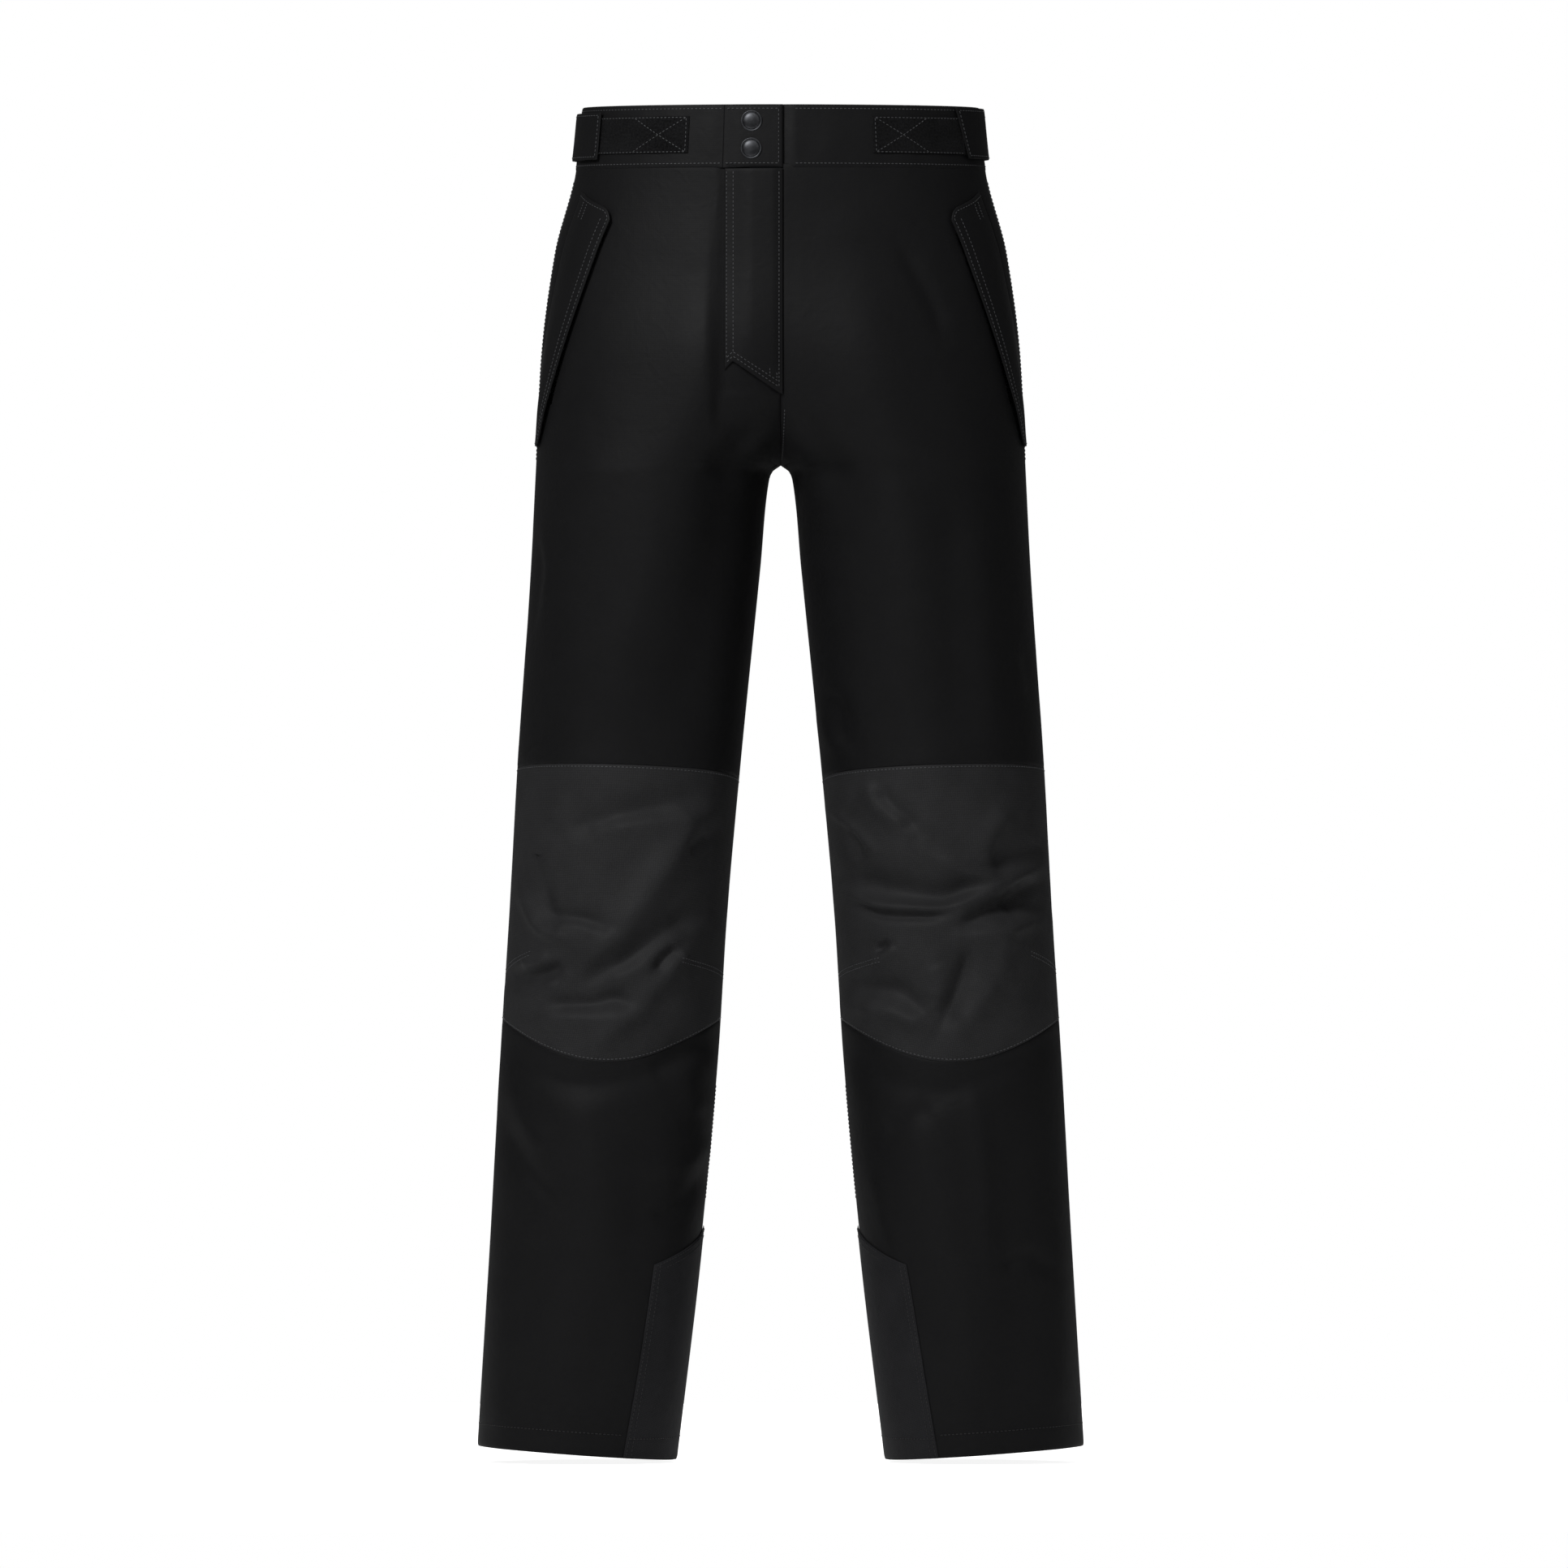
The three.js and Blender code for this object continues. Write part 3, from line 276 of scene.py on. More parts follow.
# Elsewhere on the front a place is its distance right or left of the centre line and its drop.
RIGHT_LEG_FOLDS = (
    (30, 6, ((-52, 126), (-64, 235), (-94, 350), (-126, 440), (-145, 513))),
    (26, -4, ((-36, 273), (-52, 363), (-72, 446), (-84, 510))),
    (22, 3, ((-168, 290), (-171, 363), (-174, 465))),
    (5, -2.6, ((-192, 337), (-188, 363), (-192, 392), (-198, 420))),
    (5, 2.2, ((-187, 331), (-182, 363), (-186, 395))),
    (14, -3.4, ((-11, 240), (-24, 255), (-36, 273), (-59, 292))),
    (12, 2.6, ((-9, 262), (-20, 280), (-30, 312))),
    (6, 2.2, ((-206, 513), (-196, 505), (-188, 499))),
    (14, -5, ((-206, 747), (-168, 766), (-116, 761), (-49, 728))),
    (10, 3.4, ((-59, 740), (-72, 766), (-60, 798))),
    (9, -3.6, ((-52, 737), (-78, 750), (-104, 760))),
    (10, 2.6, ((-214, 766), (-200, 798), (-180, 824))),
    (9, -3, ((-218, 798), (-203, 830), (-174, 862))),
    (28, 4.5, ((-164, 772), (-142, 862), (-126, 939), (-139, 1054))),
    (20, -3.4, ((-110, 824), (-120, 913), (-139, 990), (-155, 1041))),
    (18, 2.6, ((-216, 913), (-219, 990), (-220, 1054))),
    (16, -2.6, ((-196, 875), (-200, 952), (-196, 1041))),
    (9, 2.6, ((-52, 811), (-72, 830), (-104, 836))),
    (8, -2.6, ((-58, 836), (-78, 862), (-104, 875))),
)
LEFT_LEG_FOLDS = (
    (30, 6, ((56, 107), (72, 203), (95, 312), (114, 414), (120, 510))),
    (24, -4, ((127, 290), (133, 363), (136, 459), (143, 513))),
    (18, 3, ((156, 324), (160, 414), (166, 510))),
    (14, -3.4, ((13, 236), (21, 255), (32, 273), (56, 299))),
    (12, 2.4, ((15, 262), (24, 286), (31, 324))),
    (8, -4, ((32, 459), (44, 473), (47, 491), (56, 500))),
    (7, 3, ((31, 475), (36, 494), (47, 507))),
    (6, -2.4, ((192, 427), (197, 452), (198, 472))),
    (7, -2, ((92, 107), (120, 158), (127, 184))),
    (14, -4.6, ((51, 740), (88, 766), (140, 769), (210, 737))),
    (28, 4.5, ((101, 779), (120, 862), (146, 952), (149, 1054))),
    (22, -3.6, ((184, 785), (181, 875), (184, 964), (175, 1054))),
    (10, 2.6, ((152, 772), (159, 836), (162, 913))),
    (14, 2.6, ((216, 875), (220, 952), (216, 1041))),
    (10, -2.6, ((79, 804), (95, 798), (120, 785))),
    (9, 2.2, ((72, 836), (82, 875), (95, 913))),
    (7, -2.2, ((172, 913), (197, 904), (216, 920))),
)
# The back of the left side, which the right side mirrors with its folds a little lower.
BACK_FOLDS = (
    (26, 5, ((60, 110), (78, 200), (96, 300), (110, 420), (116, 500))),
    (15, -5, ((10, 262), (40, 286), (80, 300), (130, 296))),
    (12, 3.4, ((14, 286), (50, 306), (100, 318))),
    (16, -4, ((60, 340), (100, 352), (160, 338))),
    (12, -6, ((56, 600), (100, 618), (150, 612), (196, 590))),
    (10, 4.4, ((52, 622), (100, 640), (150, 634), (200, 612))),
    (10, -5, ((58, 652), (110, 664), (170, 650), (204, 640))),
    (9, 3.6, ((64, 676), (120, 686), (180, 670))),
    (10, -4, ((60, 700), (110, 706), (160, 716), (208, 700))),
    (12, 3.4, ((90, 560), (120, 574), (170, 566))),
    (24, 4, ((110, 770), (130, 860), (150, 960), (156, 1050))),
    (18, -3.6, ((180, 790), (176, 880), (186, 980), (184, 1050))),
    (12, -3, ((86, 900), (110, 936), (124, 990))),
)


def smooth_line(points):
    """A curve through the points, as short straight steps."""
    p = np.array(points, float)
    p = np.vstack([2 * p[0] - p[1], p, 2 * p[-1] - p[-2]])
    t = np.linspace(0, 1, 5)[:-1, None]
    steps = []
    for a, b, c, d in zip(p[:-3], p[1:-2], p[2:-1], p[3:]):
        bend = (2 * a - 5 * b + 4 * c - d) * t**2 + (3 * b - a - 3 * c + d) * t**3
        steps.append(0.5 * (2 * b + (c - a) * t + bend))
    return np.vstack([*steps, p[-2:-1]])


def fold_height(x, drop, fold, grow):
    """How high one fold lifts the cloth at each place."""
    width, height, points = fold
    line = smooth_line(points)
    reach = 2.6 * width
    near = (x > line[:, 0].min() - reach) & (x < line[:, 0].max() + reach)
    near &= (drop > line[:, 1].min() - reach) & (drop < line[:, 1].max() + reach)
    lift = np.zeros_like(x)
    if not near.any():
        return lift
    p = np.stack([x[near], drop[near]], -1)
    best = np.full(len(p), 1e9)
    along = np.zeros(len(p))
    lengths = np.hypot(*np.diff(line, axis=0).T)
    run = np.concatenate([[0], np.cumsum(lengths)]) / lengths.sum()
    for i, (a, b) in enumerate(zip(line[:-1], line[1:])):
        t = np.clip(((p - a) @ (b - a)) / max(lengths[i] ** 2, 1e-9), 0, 1)
        gap = np.hypot(*(p - a - t[:, None] * (b - a)).T)
        closer = gap < best
        best = np.where(closer, gap, best)
        along = np.where(closer, lerp(run[i], run[i + 1], t), along)
    taper = 0.35 + 0.65 * ease(0, 0.22, along) * ease(0, 0.22, 1 - along)
    lift[near] = height * grow * taper * np.exp(-((best / width) ** 1.8))
    return lift


def quiet(x, drop):
    """1 where the cloth may fold freely, 0 where the waistband, the fly and the pockets hold it flat."""
    free = ease(52, 96, drop)
    in_fly = ease(-58, -47, x) * ease(-16, -6, -x) * ease(-262, -236, -drop)
    beside = ease(-26, -8, np.abs(x) - pocket_edge(np.minimum(drop, 267))) * ease(-300, -276, -drop)
    return free * (1 - in_fly) * (1 - beside)


def relief(sign, angle, drop):
    """The height of all folds over the smooth shell, in millimetres."""
    angle, drop = np.broadcast_arrays(np.asarray(angle, float), np.asarray(drop, float))
    place = skin(sign, angle, drop)
    x = place[..., 0]
    facing = np.sin(angle)
    grow = props().fold_depth
    folds = np.zeros_like(x)
    leg, knee = (RIGHT_LEG_FOLDS, RIGHT_KNEE_FOLDS) if sign < 0 else (LEFT_LEG_FOLDS, LEFT_KNEE_FOLDS)
    for fold in leg:
        folds += fold_height(x, drop, fold, grow)
    centre_x = sign * float(middle(KNEE))
    for width, height, points in knee:
        moved = tuple((centre_x + a, KNEE - b) for a, b in points)
        folds += fold_height(x, drop, (width, height, moved), grow * KNEE_CREASE)
    folds *= np.clip(facing * 1.25, 0, 1) ** 0.7
    behind = np.zeros_like(x)
    for fold in BACK_FOLDS:
        behind += fold_height(np.abs(x), drop - (4 if sign < 0 else 0), fold, grow)
    behind *= np.clip(-facing * 1.25, 0, 1) ** 0.7
    total = (folds + behind) * quiet(x, drop)
    in_fly = ease(-48.5, -45.5, x) * ease(-0.6, 0.6, -x - 1) * ease(-232, -229, -drop - 4)
    recess = in_fly * (FLY_RECESS if sign < 0 else 0) * np.clip(facing, 0, 1)
    past_edge = (angle - ZipArc.place_turn(pocket_edge(np.minimum(drop, 267)), np.clip(drop, 83, 267))) * 96
    before_seam = (np.radians(lerp(161, 176, np.clip((drop - 67) / 200, 0, 1))) - angle) * 96
    top_edge = 83 - 16 * np.clip(past_edge / 45, 0, 1)
    across_flap = ease(1, 7, past_edge) * ease(-1.5, 1, before_seam)
    down_flap = ease(1, 5, drop - top_edge) * ease(0, 4, 265 - drop)
    return total - recess - FLAP_RECESS * across_flap * down_flap


def surface(sign, angle, drop, off=0.0):
    return skin(sign, angle, drop, off + relief(sign, angle, drop))


def band_point(turn, drop, off):
    """A point of the waistband by its turn from the centre front, growing towards the wearer's left."""
    near = np.where(turn > math.pi, turn - 2 * math.pi, turn)
    sign = np.where(near < 0, -1.0, 1.0)
    points = skin(1, math.pi / 2 + np.abs(near), drop, off)
    points[..., 0] *= sign
    return points


# ---- Meshes ----
def shares(length, cell):
    """Places from 0 to 1, evenly spaced but close together at both ends, where an edge turns in."""
    near = [e / length for e in (0.6, 1.6, 3.0) if e < length / 4]
    body = np.linspace(near[-1] if near else 0, 1 - (near[-1] if near else 0), max(2, round(length / cell)))
    return np.unique(np.concatenate([[0], near, body, [1 - n for n in near], [1]]).round(7))


def rolled(us, vs, width, length, depth=0.7, reach=3.0):
    """How far an edge turns in at each place of a grid."""
    to_u = np.minimum(us, 1 - us) * width
    to_v = np.minimum(vs, 1 - vs) * length
    gap = np.minimum(to_u[:, None], to_v[None, :])
    return depth * np.clip(1 - gap / reach, 0, 1) ** 2


def run_lengths(points, axis):
    steps = np.linalg.norm(np.diff(points, axis=axis), axis=-1)
    start = np.zeros_like(np.take(steps, [0], axis=axis))
    return np.concatenate([start, np.cumsum(steps, axis=axis)], axis=axis)


def cut_size(points):
    """The width, length and area of the flat cut that a surface is made from, in metres."""
    width = run_lengths(points, 0)[-1].max() / 1000
    length = run_lengths(points, 1)[:, -1].max() / 1000
    a, b = points[1:, 1:] - points[:-1, :-1], points[1:, :-1] - points[:-1, 1:]
    area = 0.5 * np.linalg.norm(np.cross(a, b), axis=-1).sum() / 1e6
    ease_in = 1.01
    return (width * ease_in, length * ease_in), min(area * ease_in**2, width * length * ease_in**2)


def new_object(name, vertices, faces, materials):
    mesh = bpy.data.meshes.new(name)
    mesh.from_pydata(vertices.tolist(), [], faces)
    for material in materials:
        mesh.materials.append(material)
    mesh.update()
    mesh.shade_smooth()
    piece = bpy.data.objects.new(name, mesh)
    bpy.context.scene.collection.objects.link(piece)
    return piece


def cloth(name, outer, inner_face, face, back, ring=False):
    """A closed sheet between two grids of points in millimetres, with a UV map in metres."""
    nu, nv = outer.shape[:2]
    columns = nu - 1 if ring else nu
    grids = [outer[:columns], inner_face[:columns]]
    vertices = np.concatenate([g.reshape(-1, 3) for g in grids]) / 1000
    layer = columns * nv
    i, j = np.meshgrid(np.arange(nu - 1), np.arange(nv - 1), indexing="ij")
    i, j = i.ravel(), j.ravel()

    def at(a, b, k):
        return (a % columns) * nv + b + k * layer

    top = np.stack([at(i, j, 0), at(i + 1, j, 0), at(i + 1, j + 1, 0), at(i, j + 1, 0)], -1)
    bottom = np.stack([at(i, j, 1), at(i, j + 1, 1), at(i + 1, j + 1, 1), at(i + 1, j, 1)], -1)
    rims = []
    a, last = np.arange(nu - 1), nv - 1
    rims.append(np.stack([at(a, 0, 0), at(a, 0, 1), at(a + 1, 0, 1), at(a + 1, 0, 0)], -1))
    rims.append(np.stack([at(a, last, 0), at(a + 1, last, 0), at(a + 1, last, 1), at(a, last, 1)], -1))
    if not ring:
        b, end = np.arange(nv - 1), nu - 1
        rims.append(np.stack([at(0, b, 0), at(0, b + 1, 0), at(0, b + 1, 1), at(0, b, 1)], -1))
        rims.append(np.stack([at(end, b, 0), at(end, b, 1), at(end, b + 1, 1), at(end, b + 1, 0)], -1))
    faces = np.concatenate([top, bottom, *rims])
    corners = vertices[faces]
    six = np.einsum("ij,ij->i", corners[:, 0], np.cross(corners[:, 1], corners[:, 2]))
    six += np.einsum("ij,ij->i", corners[:, 0], np.cross(corners[:, 2], corners[:, 3]))
    if six.sum() < 0:
        faces = faces[:, ::-1]
    piece = new_object(name, vertices, faces.tolist(), [face, back])
    count = len(top)
    index = np.zeros(len(faces), dtype=np.int32)
    index[count : 2 * count] = 1
    piece.data.polygons.foreach_set("material_index", index)
    uv = np.stack([run_lengths(outer, 0), run_lengths(outer, 1)], -1)[:columns].reshape(-1, 2) / 1000
    uv = np.concatenate([uv, uv])
    layer_uv = piece.data.uv_layers.new(name="Cloth")
    layer_uv.data.foreach_set("uv", uv[faces.ravel()].ravel().astype(np.float32))
    return piece


def leg_panel(name, sign, start, end, top, bottom, height, face, cell=3.0):
    """A panel of a leg between two turns, from a top edge to a bottom edge."""
    width = 270
    us, vs = shares(width, cell), shares(height, cell)
    inseam = 0.0 if start is inner else 1.0
    high, low = float(top(inseam)) + 0.05, float(bottom(inseam)) - 0.05
    if high < RISE < low:
        # one row of points meets the crotch, where the two halves part
        crotch = (RISE - high) / (low - high)
        vs[np.argmin(np.abs(vs - crotch))] = crotch
    u, v = np.meshgrid(us, vs, indexing="ij")
    drop = lerp(top(u) + 0.05, bottom(u) - 0.05, v)
    angle = lerp(start(drop), end(drop), u)
    lift = relief(sign, angle, drop)
    outer = skin(sign, angle, drop, lift - rolled(us, vs, width, height))
    inside = skin(sign, angle, drop, lift - props().fabric)
    smooth = skin(sign, angle, drop)
    return cloth(name, outer, inside, face, lining_cloth())


def level(drop):
    return lambda u: drop + 0 * u


def back_start(drop):
    return 2 * math.pi - side(drop)


def back_end(drop):
    """The centre back seam laps a hair past the middle, so no light shows through it."""
    return 2 * math.pi - inner(drop, 0.08)


def active(piece):
    for other in bpy.context.selected_objects:
        other.select_set(False)
    piece.select_set(True)
    bpy.context.view_layer.objects.active = piece


def faces_out(piece, triangles=False):
    active(piece)
    bpy.ops.object.mode_set(mode="EDIT")
    bpy.ops.mesh.select_all(action="SELECT")
    if triangles:
        bpy.ops.mesh.quads_convert_to_tris()
    bpy.ops.mesh.normals_make_consistent(inside=False)
    bpy.ops.object.mode_set(mode="OBJECT")


def cut_out(piece, cutter):
    """Cuts one closed mesh out of another and throws the cutter away."""
    active(piece)
    modifier = piece.modifiers.new("Cut", "BOOLEAN")
    modifier.operation = "DIFFERENCE"
    modifier.solver = "EXACT"
    modifier.object = cutter
    bpy.ops.object.modifier_apply(modifier=modifier.name)
    bpy.data.objects.remove(cutter, do_unlink=True)


def prism(name, low, high):
    """A closed mesh between two rings of points, for cutting."""
    count = len(low)
    faces = [list(range(count))[::-1], list(range(count, 2 * count))]
    for i in range(count):
        j = (i + 1) % count
        faces.append([i, j, j + count, i + count])
    return new_object(name, np.concatenate([low, high]) / 1000, faces, [])


# ---- Stitches ----
class Thread:
    """Collects stitches, each a short closed capsule of thread lying on the cloth."""

    RING = 6
    RADIUS = 0.34
    # how deep a stitch is pulled into the cloth
    SINK = 0.12
    # each ring's place along the stitch and its radius, as shares
    SHAPE = ((-0.42, 0.62), (-0.2, 1.0), (0.2, 1.0), (0.42, 0.62))

    def __init__(self):
        self.vertices = []
        self.faces = []

    def stitch(self, middle_at, along, out, length):
        aside = np.cross(along, out)
        base = len(self.vertices)
        for share, wide in self.SHAPE:
            for k in range(self.RING):
                turn = 2 * math.pi * k / self.RING
                offset = aside * math.cos(turn) + out * math.sin(turn) * 0.8
                self.vertices.append(middle_at + along * share * length + offset * self.RADIUS * wide)
        rings = len(self.SHAPE)
        for r in range(rings - 1):
            for k in range(self.RING):
                n = (k + 1) % self.RING
                a, b = base + r * self.RING, base + (r + 1) * self.RING
                self.faces.append((a + k, b + k, b + n, a + n))
        self.faces.append(tuple(base + k for k in range(self.RING)))
        self.faces.append(tuple(base + (rings - 1) * self.RING + k for k in reversed(range(self.RING))))

    def line(self, at, out_at, pitch=None):
        """Stitches evenly along a line, given as points and the directions out of the cloth."""
        pitch = pitch or props().stitch_pitch
        run = run_lengths(at, 0)
        count = max(1, int(run[-1] / pitch))
        places = (np.arange(count) + 0.5) * run[-1] / count
        reach = pitch * 0.32
        ends = []
        for s in (places - reach, places + reach, places):
            ends.append(np.stack([np.interp(s, run, at[:, k]) for k in range(3)], -1))
        outs = np.stack([np.interp(places, run, out_at[:, k]) for k in range(3)], -1)
        for a, b, m, out in zip(*ends, outs):
            along = b - a
            length = np.linalg.norm(along)
            if length < 1e-6:
                continue
            along = along / length
            out = out - along * (out @ along)
            out = out / np.linalg.norm(out)
            centre = (a + b + m * 2) / 4 + out * (self.RADIUS - self.SINK)
            self.stitch(centre, along, out, length * 1.12)

    def finish(self, name, material, slot="shell"):
        piece = new_object(name, np.array(self.vertices) / 1000, self.faces, [material])
        return piece


def leg_line(thread, sign, angle, drop, off):
    """Stitches along a line on a leg."""
    angle, drop = (np.asarray(a, float) for a in np.broadcast_arrays(angle, drop))
    low = surface(sign, angle, drop, off)
    high = skin(sign, angle, drop, 1.0) - skin(sign, angle, drop, 0.0)
    thread.line(low, high)


def sheet_line(thread, at, us, vs, off, pitch=None):
    """Stitches along a line on a piece whose layers are at(u, v, off)."""
    us, vs = (np.asarray(a, float) for a in np.broadcast_arrays(us, vs))
    low = at(us, vs, off)
    thread.line(low, at(us, vs, off + 1.0) - low, pitch)


def band_line(thread, turn, drop, off):
    turn, drop = (np.asarray(a, float) for a in np.broadcast_arrays(turn, drop))
    low = band_point(turn, drop, off)
    thread.line(low, band_point(turn, drop, off + 1.0) - low)


# ---- Finishes ----
def linear(hex_colour):
    """A written sRGB colour as the linear values that a shader takes."""
    values = [int(hex_colour[i : i + 2], 16) / 255 for i in (1, 3, 5)]
    return [v / 12.92 if v <= 0.04045 else ((v + 0.055) / 1.055) ** 2.4 for v in values]


def node(tree, kind, settings=None, **links):
    """Adds a node, sets its properties or sockets and links its inputs."""
    made = tree.nodes.new(kind)
    for key, value in (settings or {}).items():
        if key in made.inputs:
            made.inputs[key].default_value = value
        else:
            setattr(made, key, value)
    for key, source in links.items():
        tree.links.new(source, made.inputs[key])
    return made


def start_finish(name, settings):
    material = bpy.data.materials.get(name)
    if material:
        return material, None, None
    material = bpy.data.materials.new(name)
    material.use_nodes = True
    tree = material.node_tree
    tree.nodes.clear()
    shader = node(tree, "ShaderNodeBsdfPrincipled", settings)
    output = node(tree, "ShaderNodeOutputMaterial")
    tree.links.new(shader.outputs["BSDF"], output.inputs["Surface"])
    return material, tree, shader


def tone(tree, factor, colour, low, high):
    """A colour that runs between a darker and a lighter tone of itself."""
    ramp = node(tree, "ShaderNodeValToRGB", {}, Fac=factor)
    ends = ramp.color_ramp.elements
    ends[0].position, ends[1].position = 0.3, 0.7
    colour = linear(colour) if isinstance(colour, str) else colour
    ends[0].color = [c * low for c in colour] + [1]
    ends[1].color = [c * high for c in colour] + [1]
    return ramp.outputs["Color"]


def math_node(tree, operation, a, b):
    made = tree.nodes.new("ShaderNodeMath")
    made.operation = operation
    for socket, value in zip(made.inputs, (a, b)):
        if isinstance(value, (int, float)):
            socket.default_value = value
        else:
            tree.links.new(value, socket)
    return made.outputs[0]


def blend_of(tree, first, second, share):
    """Two values added, the second with the given share."""
    parts = math_node(tree, "MULTIPLY", first, 1 - share), math_node(tree, "MULTIPLY", second, share)
    return math_node(tree, "ADD", *parts)


def noise(tree, places, scale, **settings):
    settings["Scale"] = scale
    return node(tree, "ShaderNodeTexNoise", settings, Vector=places).outputs["Fac"]


def unevenly(tree, shader, socket, factor, spread, least):
    """Sets a socket to a value that rises from its least by up to the spread."""
    value = math_node(tree, "ADD", math_node(tree, "MULTIPLY", factor, spread), least)
    tree.links.new(value, shader.inputs[socket])


def woven(name, colour, thread_mm, roughness, sheen, contrast=0.12, slub=0.5, bump=0.35, crumple=0.25):
    """Woven cloth: warp and weft at their real pitch, uneven yarns, soft creases and a faint sheen."""
    settings = {
        "Sheen Weight": sheen,
        "Sheen Roughness": 0.4,
        "Sheen Tint": (0.94, 0.94, 0.95, 1),
        "Specular IOR Level": 0.12,
    }
    material, tree, shader = start_finish(name, settings)
    if not tree:
        return material
    uv = node(tree, "ShaderNodeUVMap", {"uv_map": "Cloth"}).outputs["UV"]
    places = node(tree, "ShaderNodeTexCoord").outputs["Object"]
    pitch = thread_mm / 1000
    # a band texture makes 20 / (2 pi) waves a unit at scale 1; this gives one wave for every two yarns
    per_pitch = math.pi / (20 * pitch)
    yarns = []
    for direction in ("X", "Y"):
        wave = {"wave_type": "BANDS", "bands_direction": direction, "Scale": per_pitch}
        yarns.append(node(tree, "ShaderNodeTexWave", wave, Vector=uv).outputs["Fac"])
    weave = math_node(tree, "MULTIPLY", *yarns)
    uneven = noise(tree, uv, 0.9 / pitch, Detail=2.0)
    patches = noise(tree, places, 38.0, Detail=3.0)
    creases = noise(tree, places, 95.0, Detail=2.5, Distortion=0.6)
    mixed = blend_of(tree, weave, uneven, slub)
    shade = blend_of(tree, mixed, patches, 0.35)
    tree.links.new(tone(tree, shade, colour, 1 - contrast, 1 + contrast), shader.inputs["Base Color"])
    unevenly(tree, shader, "Roughness", patches, 0.12, roughness - 0.06)
    folds = node(tree, "ShaderNodeBump", {"Strength": crumple, "Distance": 0.0012}, Height=creases)
    fine = {"Strength": bump, "Distance": 0.25 * pitch}
    grain = node(tree, "ShaderNodeBump", fine, Height=mixed, Normal=folds.outputs["Normal"])
    tree.links.new(grain.outputs["Normal"], shader.inputs["Normal"])
    return material


def solid(name, colour, roughness, metallic=0.0, grain_mm=0.6, contrast=0.1, bump=0.15, coat=0.0):
    """A moulded or cast finish with a fine grain, slight mottling and rubbed, smoother patches."""
    settings = {"Metallic": metallic, "Specular IOR Level": 0.5, "Coat Weight": coat, "Coat Roughness": 0.3}
    material, tree, shader = start_finish(name, settings)
    if not tree:
        return material
    places = node(tree, "ShaderNodeTexCoord").outputs["Object"]
    grain = noise(tree, places, 1000 / grain_mm, Detail=2.0)
    rub = noise(tree, places, 260.0, Detail=4.0)
    tree.links.new(tone(tree, rub, colour, 1 - contrast, 1 + contrast), shader.inputs["Base Color"])
    unevenly(tree, shader, "Roughness", rub, 0.2, roughness - 0.1)
    relief_node = node(tree, "ShaderNodeBump", {"Strength": bump, "Distance": 0.0001}, Height=grain)
    tree.links.new(relief_node.outputs["Normal"], shader.inputs["Normal"])
    return material


def shell_cloth():
    # matte black laminate: a fine plain weave that turns slightly grey where light grazes its folds
    return woven("black woven laminate", props().shell_colour, 0.55, 0.55, 0.012)


def canvas():
    # the tougher patches: a coarser, greyer yarn whose specks read from a distance
    return woven("dark grey canvas", props().canvas_colour, 0.9, 0.6, 0.015, 0.3, 0.7, 0.55, 0.3)


def scuff_cloth():
    # the kick patches: the same coarse yarn dyed almost as dark as the shell
    return woven("black scuff cloth", "#28282a", 0.9, 0.6, 0.015, 0.3, 0.7, 0.55, 0.3)


def lining_cloth():
    # smooth lining, seen inside the waist and the hems
    return woven("dark grey lining", "#232427", 0.3, 0.5, 0.03, 0.08, 0.4, 0.2, 0.4)


def loop_pile():
    # the fuzzy half of a touch fastener: no weave shows, only short curled pile
    return woven("black loop pile", "#161617", 1.5, 0.95, 0.05, 0.75, 0.95, 0.9, 0.5)


def hook_sheet():
    # the stiff half of a touch fastener
    return woven("black hook sheet", "#121213", 1.2, 0.5, 0.0, 0.2, 0.1, 0.9, 0.1)


def zip_tape():
    # tight twill tape beside the teeth
    return woven("black zip tape", "#161617", 0.7, 0.75, 0.02, 0.15, 0.2, 0.6, 0.1)


def thread_finish():
    # polyester thread: a touch lighter and shinier than the cloth, so each stitch catches light
    return solid("black polyester thread", props().thread_colour, 0.45, 0.0, 0.25, 0.15, 0.4)


def shaded_thread():
    # the same thread painted as dark as the shell: painted shade for the stitches at the shins and hems, so
    # that they barely show
    return solid("thread in painted shade", "#232324", 0.5, 0.0, 0.25, 0.15, 0.4)


def gunmetal():
    # plated press studs: dark satin metal, brighter where the rim is rubbed
    return solid("gunmetal plating", "#4c4d50", 0.42, 1.0, 0.5, 0.14, 0.12)


def moulded():
    # zip teeth, sliders and pulls: semi-gloss black acetal
    return solid("black moulded acetal", "#1c1c1e", 0.42, 0.0, 0.5, 0.12, 0.2, 0.15)


# ---- Settings ----
class SkiPantsProperties(bpy.types.PropertyGroup):
    """Sizes and colours of the cloth."""

    shell_colour: bpy.props.StringProperty(
        name="Shell", description="Colour of the shell cloth, as sRGB", default="#1a1a1b"
    )
    canvas_colour: bpy.props.StringProperty(
        name="Canvas", description="Colour of the knee panels and kick patches, as sRGB", default="#303031"
    )
    thread_colour: bpy.props.StringProperty(
        name="Thread", description="Colour of the stitching, as sRGB", default="#4a4b4d"
    )
    fabric: bpy.props.FloatProperty(
        name="Shell thickness", description="Shell cloth and its lining, in millimetres", default=1.2
    )
    fold_depth: bpy.props.FloatProperty(
        name="Fold depth", description="How deep the folds are against those of a worn pair", default=1.0
    )
    stitch_pitch: bpy.props.FloatProperty(
        name="Stitch pitch", description="Length of one stitch with its gap, in millimetres", default=3.2
    )
    floor_size: bpy.props.FloatProperty(
        name="Floor", description="Width of the pale floor", default=3.0, subtype="DISTANCE", unit="LENGTH"
    )


def props():
    return bpy.context.scene.ski_pants


